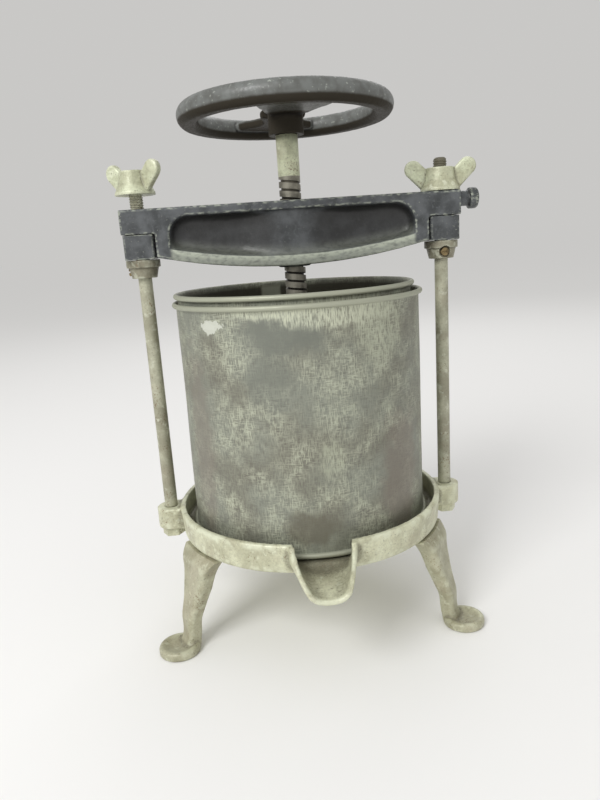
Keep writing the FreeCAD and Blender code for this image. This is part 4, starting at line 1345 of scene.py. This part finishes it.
@dataclass
class TinCylinder:
    """A tin cylinder with rolled beads, a lapped seam and shallow dents."""

    node: str
    inner: float
    wall: float
    bead: float
    foot_bead: bool
    ledge: float = 0.0
    centre: float = 0.0
    seam_turn: float = 90.0
    seam_width: float = 12.5 * MM
    seam_depth: float = 0.5 * MM
    seam_fade: float = 0.9 * MM
    seam_outside: bool = True
    dent: float = 0.25 * MM
    waves: tuple[Wave, ...] = (Wave(2, 1.0, 0.4, 0.9), Wave(3, 2.0, 1.9, 0.7), Wave(5, 3.0, 0.3, 0.45),
                               Wave(7, 1.0, 2.6, 0.3), Wave(11, 4.0, 1.2, 0.16))
    margin: float = 0.05 * MM
    bead_from: float = 0.3 * MM
    bead_bright: float = 0.95
    soot_and_shade: float = 0.9
    soot_and_shade_top: float = 0.985
    seam_bright: float = 0.9
    sides: int = 288
    rows: int = 64
    bead_steps: int = 14

    def build(self, material: Material) -> bpy.types.Object:
        """Build the piece.

        Args:
            material: Its finish.

        Returns:
            The piece, which stands for its node.
        """
        low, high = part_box(self.node)
        mesh = lathe(self.node, self.profile(low.z, high.z), self.sides, self.centre)
        self.shape(mesh, low.z, high.z)
        return settle(f"tin_{self.node}", mesh, Body.FRAME, Slot.TINPLATE, material, self.node)

    def bead_arc(self, height: float, start: float, end: float) -> Profile:
        """Go round a bead.

        Args:
            height: The height of its middle, in metres.
            start: The angle of the first point, in degrees.
            end: The angle of the last point, in degrees.

        Returns:
            The points.
        """
        middle = self.inner + self.bead
        turns = np.radians(np.linspace(start, end, self.bead_steps))
        return [(middle + self.bead * math.cos(t), height + self.bead * math.sin(t)) for t in turns]

    def profile(self, low: float, high: float) -> Profile:
        """The wall's section.

        Args:
            low: Its lowest height, in metres.
            high: Its highest height, in metres.

        Returns:
            Its points, anticlockwise from the foot.
        """
        outer = self.inner + self.wall
        top = high - self.bead
        hidden = math.degrees(math.acos(1.0 - self.wall / self.bead))
        if self.foot_bead:
            points = self.bead_arc(low + self.bead, 180.0, 540.0 - hidden)
            start = low + 2 * self.bead
        else:
            points = [(self.inner - self.ledge, low), (outer, low)]
            start = low + self.bead
        heights = np.linspace(start, top - 2 * self.bead, self.rows)
        points += [(outer, z) for z in heights]
        points += self.bead_arc(top, 180.0 + hidden, 540.0)
        points += [(self.inner, z) for z in heights[::-1]]
        if self.ledge:
            points += [(self.inner, low + self.wall), (self.inner - self.ledge, low + self.wall)]
        return points

    def shape(self, mesh: Mesh, low: float, high: float) -> None:
        """Dent the wall a little, raise the seam, and mark the beads' lighter colour as a painted highlight,
        the inside's darkening as fruit stain and painted shade, and the seam's solder.

        Args:
            mesh: The cylinder.
            low: Its lowest height, in metres.
            high: Its highest height, in metres.
        """
        surface = Surface(mesh)
        x, y, z = (surface.points - (self.centre, 0.0, 0.0)).T
        radius, turn = np.hypot(x, y), np.arctan2(y, x)
        rise = np.clip((z - low) / (high - low), 0.0, 1.0)
        reach = radius - self.inner
        on_wall = (reach > -self.margin) & (reach < self.wall + self.margin)
        outside = reach > self.wall / 2
        sway = sum(w.share * np.sin(w.round_turns * turn + w.phase)
                   * np.cos(w.up_turns * math.pi * rise + w.phase) for w in self.waves)
        change = np.where(on_wall, self.dent * sway * np.sin(math.pi * rise), 0.0)
        across = np.abs(np.angle(np.exp(1j * (turn - math.radians(self.seam_turn))))) * radius
        off_seam = np.clip((across - self.seam_width / 2) / self.seam_fade + 0.5, 0.0, 1.0)
        lap = self.seam_depth * (1.0 - off_seam)
        if self.seam_outside:
            change += np.where(outside & on_wall, lap, 0.0)
        else:
            change += np.where(~outside & on_wall, -lap, 0.0)
        grown = (radius + change) / np.maximum(radius, MM)
        surface.points[:, 0] = self.centre + x * grown
        surface.points[:, 1] = y * grown
        surface.write()
        # The beads take the lighter solder colour as a painted highlight.
        bead = np.where(reach > self.wall + self.bead_from, self.bead_bright, 0.0)
        # The basket's inside is darkened as fruit stain and painted shade.
        inside = ~outside & (rise < self.soot_and_shade_top) & (not self.seam_outside)
        surface.store(Mark.DIRT_AND_SHADE, np.where(inside, self.soot_and_shade, 0.0))
        surface.store(Mark.WORN_AND_SHEEN, np.where(inside & (lap > 0.0), self.seam_bright, bead))


@dataclass(frozen=True)
class Lamp:
    """A soft square lamp."""

    name: str
    place: Point
    size: float
    power: float


@dataclass
class Studio:
    """The floor, the lamps and the camera. The focal length is in pixels of the frame."""

    focal: float = 654.3
    frame_height: float = 800.0
    sensor: float = 36.0
    clip: Span = (0.01, 100.0)
    place: Point = (-25.63 * MM, -398.82 * MM, 229.5 * MM)
    yaw: float = 3.36
    pitch: float = 13.31
    roll: float = 3.76
    floor_size: float = 120.0
    floor_colour: Colour = (0.86, 0.855, 0.845)
    world_colour: Colour = (1.0, 0.995, 0.985)
    world_strength: float = 0.68
    aim: Point = (0.0, 0.0, 0.16)
    lamps: tuple[Lamp, ...] = (Lamp("key", (-0.80, -1.00, 1.15), 0.7, 15.5),
                               Lamp("fill", (1.10, -0.95, 0.70), 0.7, 0.3),
                               Lamp("back", (0.30, 1.20, 1.20), 0.8, 3.0))

    def build(self) -> None:
        """Set up the floor, the world, the lamps and the camera."""
        bpy.context.scene.view_settings.view_transform = "Standard"
        self.lay_floor()
        self.light_world()
        for lamp in self.lamps:
            self.hang(lamp)
        self.set_camera()

    def lay_floor(self) -> None:
        """Lay a plain pale floor."""
        half = self.floor_size / 2
        mesh = bpy.data.meshes.new("floor")
        mesh.from_pydata([(-half, -half, 0.0), (half, -half, 0.0), (half, half, 0.0), (-half, half, 0.0)],
                         [], [(0, 1, 2, 3)])
        sheet = ShaderSheet("floor_paper")
        sheet.dress(self.floor_colour, 1.0, 0.0, gloss=0.0)
        mesh.materials.append(sheet.material)
        floor = placed("floor", mesh)

    def light_world(self) -> None:
        """Light the scene from all round, and show the far floor's own tone there and in reflections."""
        world = bpy.data.worlds.new("studio")
        world.use_nodes = True
        sheet = NodeSheet(world.node_tree)
        light = sheet.tree.nodes["Background"]
        sheet.feed(light.inputs["Color"], self.world_colour)
        sheet.feed(light.inputs["Strength"], self.world_strength)
        tone = [floor * sky * self.world_strength for floor, sky in zip(self.floor_colour, self.world_colour)]
        seen = sheet.add("ShaderNodeBackground", {"Color": tone})
        path = sheet.add("ShaderNodeLightPath", {})
        shown = path.outputs["Is Camera Ray"]
        for ray in ("Is Glossy Ray", "Is Transmission Ray"):
            shown = sheet.work("MAXIMUM", shown, path.outputs[ray])
        choice = sheet.add("ShaderNodeMixShader", {"Fac": shown, 1: light.outputs["Background"],
                                                   2: seen.outputs["Background"]})
        sheet.feed(sheet.tree.nodes["World Output"].inputs["Surface"], choice.outputs["Shader"])
        bpy.context.scene.world = world

    def hang(self, lamp: Lamp) -> None:
        """Hang a lamp that faces the press.

        Args:
            lamp: The lamp.
        """
        data = bpy.data.lights.new(lamp.name, "AREA")
        data.energy = lamp.power
        data.size = lamp.size
        aim = Vector(self.aim) - Vector(lamp.place)
        turn = aim.to_track_quat("-Z", "Y").to_matrix().to_4x4()
        placed(lamp.name, data).matrix_world = Matrix.Translation(Vector(lamp.place)) @ turn

    def set_camera(self) -> None:
        """Stand the camera where the photograph was taken from."""
        yaw, pitch, roll = (math.radians(a) for a in (self.yaw, self.pitch, self.roll))
        right = Vector((math.cos(yaw), -math.sin(yaw), 0.0))
        ahead = Vector((math.cos(pitch) * math.sin(yaw), math.cos(pitch) * math.cos(yaw), -math.sin(pitch)))
        up = right.cross(ahead)
        across = math.cos(roll) * right - math.sin(roll) * up
        above = math.sin(roll) * right + math.cos(roll) * up
        turn = Matrix((across, above, -ahead)).transposed().to_4x4()
        data = bpy.data.cameras.new("camera")
        data.sensor_width = self.sensor
        data.lens = self.focal / self.frame_height * self.sensor
        data.clip_start, data.clip_end = self.clip
        camera = placed("camera", data)
        camera.matrix_world = Matrix.Translation(Vector(self.place)) @ turn
        bpy.context.scene.camera = camera


@dataclass
class Press:
    """The whole press: its castings, tin, screw and small fittings."""

    tray_voxel: float = 0.95 * MM
    leg_voxel: float = 0.6 * MM
    bar_voxel: float = 0.62 * MM
    wheel_voxel: float = 0.55 * MM
    fitting_voxel: float = 0.4 * MM
    bar_relief: float = 0.26 * MM
    tray_fillet: Fillet = Fillet((-34.0, -98.0, 55.0), (34.0, -74.0, 74.5), 7)
    leg_fillet: Fillet = Fillet((-120.0, -120.0, 38.0), (120.0, 120.0, 66.0), 16)
    bar_fillet: Fillet = Fillet((-76.0, -10.4, 219.0), (76.0, 10.4, 254.0), 110)
    wheel_fillet: Fillet = Fillet((-22.0, -22.0, 293.0), (22.0, 22.0, 304.0), 22)
    leg_turns: dict[str, float] = field(default_factory=lambda: {"left": 210.0, "right": 330.0, "back": 90.0})
    sleeve: TinCylinder = field(default_factory=lambda: TinCylinder(
        "outer_sleeve", 71.6 * MM, 0.7 * MM, 1.5 * MM, True))
    basket: TinCylinder = field(default_factory=lambda: TinCylinder(
        "basket", 68.7 * MM, 0.7 * MM, 1.5 * MM, False, ledge=6.0 * MM, centre=-1.7 * MM, seam_turn=100.0,
        seam_outside=False))
    screw: PressScrew = field(default_factory=PressScrew)
    rods: Rods = field(default_factory=Rods)

    def build(self) -> None:
        """Build every piece and dress the nodes that stay."""
        finishes = self.finishes()
        own = self.own_finishes(finishes[Slot.PAINTED_CASTING])
        skin, threads = CastSkin(), ThreadTree()
        for casting in self.castings():
            casting.build(skin, own.get(casting.node, finishes[casting.slot]))
        for tin in (self.sleeve, self.basket):
            tin.build(finishes[Slot.TINPLATE])
        self.screw.build(threads, finishes[Slot.SCREW_STEEL], own["press_screw"])
        self.rods.build(threads, own["rod_left"])
        self.dress_nodes(finishes, own)

    def castings(self) -> list[Casting]:
        """List the cast pieces.

        Returns:
            The pieces, in the order in which they are made.
        """
        pale, fitting, black = Slot.PAINTED_CASTING, Slot.PAINTED_FITTING, Slot.BLACK_CASTING
        tray = Casting("drip_tray", Body.FRAME, pale, self.tray_voxel, soot_and_shade=FloorShadow(),
                       fillet=self.tray_fillet)
        legs = [Casting(f"leg_{side}", Body.FRAME, pale, self.leg_voxel, form=LegForm(turn),
                        fillet=self.leg_fillet) for side, turn in self.leg_turns.items()]
        bar = Casting("crossbar", Body.FRAME, black, self.bar_voxel, relief=self.bar_relief, wear=BarWearAndSheen(),
                      soot_and_shade=PocketShade(), fillet=self.bar_fillet)
        blocks = [Casting(f"{kind}_{side}", Body.FRAME, slot, self.fitting_voxel)
                  for kind, slot in (("spacer", black), ("collar", fitting)) for side in SIDES]
        wheel = Casting("handwheel", Body.SCREW, Slot.WHEEL_CASTING, self.wheel_voxel, wear=RimWear(),
                        form=WheelForm(), fillet=self.wheel_fillet)
        nuts = [Casting(f"wing_nut_{side}", Body(f"wing_nut_{side}"), fitting, self.fitting_voxel)
                for side in SIDES]
        return [tray, *legs, bar, *blocks, wheel, *nuts]

    def own_finishes(self, casting_paint: Material) -> dict[str, Material]:
        """Make the finishes of nodes that differ from the rest of their slot.

        Args:
            casting_paint: The paint of the tray, which the rods' lower nuts share.

        Returns:
            The finish of each such node.
        """
        rod = AluminiumPaint("rod_paint", light=(0.46, 0.46, 0.345), shade=(0.30, 0.29, 0.21),
                             rosy=(0.42, 0.37, 0.28), bright=(0.60, 0.61, 0.49), soiled_and_shaded=0.9,
                             dark_over=264 * MM).make()
        # The collars' paint is a darker copy of the fitting paint: painted shade under the spacers.
        collar = AluminiumPaint("shaded_collar_paint", light=(0.27, 0.255, 0.185), shade=(0.155, 0.145, 0.10),
                                rosy=(0.32, 0.27, 0.20), bright=(0.50, 0.51, 0.40), soiled_and_shaded=0.9).make()
        leg = AluminiumPaint("leg_paint", light=(0.455, 0.445, 0.315), shade=(0.33, 0.315, 0.21),
                             wear=0.4).make()
        # The shank's paint is a lighter copy of the fitting paint: painted light that offsets the handwheel's
        # shadow.
        shank = AluminiumPaint("lit_shank_paint", light=(0.74, 0.78, 0.55), shade=(0.50, 0.51, 0.35),
                               dark_over=307 * MM).make()
        pairs = {"rod": rod, "rod_nut": casting_paint, "collar": collar}
        own = {f"{kind}_{side}": paint for kind, paint in pairs.items() for side in SIDES}
        own.update({f"leg_{side}": leg for side in self.leg_turns})
        own["press_screw"] = shank
        return own

    def stains(self) -> tuple[Stain, ...]:
        """List the stains on the tin, with a painted sheen under the top bead and a painted glint.

        Returns:
            The marks, from the lowest coat up.
        """
        cream, pale, grey = (0.43, 0.45, 0.34), (0.55, 0.57, 0.44), (0.165, 0.175, 0.148)
        umber, plum, glint_white = (0.145, 0.135, 0.10), (0.20, 0.17, 0.14), (0.60, 0.615, 0.54)
        plain, crisp_glint = {}, {"ragged": 1.5, "soft": 0.1}
        hatched = {"hatched": True}
        foot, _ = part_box("outer_sleeve")
        return tuple(Stain(turn, foot.z + rise * MM, width * MM, tall * MM, colour, strength, **kind)
                     for turn, rise, width, tall, colour, strength, kind in (
            (258.0, 122.0, 24.0, 10.0, grey, 0.85, plain),
            (252.0, 100.0, 14.0, 16.0, grey, 0.6, plain),
            # The pale bands under the top bead, here and two rows down, are a painted sheen, hatched by the
            # wiping strokes.
            (285.0, 132.0, 40.0, 7.0, pale, 0.95, hatched),
            (302.0, 120.0, 20.0, 15.0, cream, 0.6, hatched),
            (255.0, 134.5, 26.0, 3.2, pale, 0.75, hatched),
            (277.0, 54.0, 6.5, 10.0, cream, 0.65, hatched),
            (266.0, 17.0, 15.0, 9.0, umber, 0.75, plain),
            (314.0, 40.0, 22.0, 32.0, plum, 0.65, plain),
            (212.0, 60.0, 15.0, 48.0, plum, 0.5, plain),
            # Two small white patches: a painted glint.
            (226.5, 128.0, 11.5, 2.4, glint_white, 0.9, crisp_glint),
            (225.2, 126.2, 7.0, 3.2, glint_white, 0.9, crisp_glint)))

    def finishes(self) -> dict[Slot, Material]:
        """Make one material for each of the record's slots.

        Returns:
            The material of each slot.
        """
        makers = {
            Slot.PAINTED_CASTING: AluminiumPaint("aged_aluminium_paint"),
            Slot.PAINTED_FITTING: AluminiumPaint("fitting_paint", light=(0.63, 0.67, 0.48),
                                                 shade=(0.43, 0.44, 0.30), rosy=(0.50, 0.46, 0.32), soiled_and_shaded=0.9),
            Slot.BLACK_CASTING: BlackPaint("worn_black_paint"),
            Slot.WHEEL_CASTING: WheelPaint("rubbed_wheel_paint"),
            Slot.TINPLATE: Tinplate("mottled_tin", stains=self.stains()),
            Slot.SCREW_STEEL: OiledSteel("oiled_steel"),
            Slot.BRASS_SCREW: PlainMetal("dull_brass", (0.28, 0.21, 0.105), (0.13, 0.095, 0.05), 0.45, 0.7),
            Slot.FOLLOWER_CASTING: PlainMetal("tinned_iron", (0.26, 0.255, 0.215), (0.12, 0.11, 0.08),
                                              0.5, 0.4),
        }
        return {slot: maker.make() for slot, maker in makers.items()}

    def dress_nodes(self, finishes: dict[Slot, Material], own: dict[str, Material]) -> None:
        """Give every node that still shows its own finish, or else that of its slot.

        Args:
            finishes: The finish of each slot.
            own: The finishes of nodes that differ from the rest of their slot.
        """
        for row in frame["record"]["subparts"]:
            node = frame["nodes"][row["node"]]
            if not node.hide_render:
                node.data.materials.clear()
                node.data.materials.append(own.get(row["node"], finishes[Slot(row["material_slot"])]))
                log.info("%s: the solid itself", row["node"])


def main() -> None:
    """Build the press and the studio."""
    logging.basicConfig(level=logging.INFO, format="%(name)s %(message)s")
    Press().build()
    Studio().build()


if __name__ == "__main__":
    main()
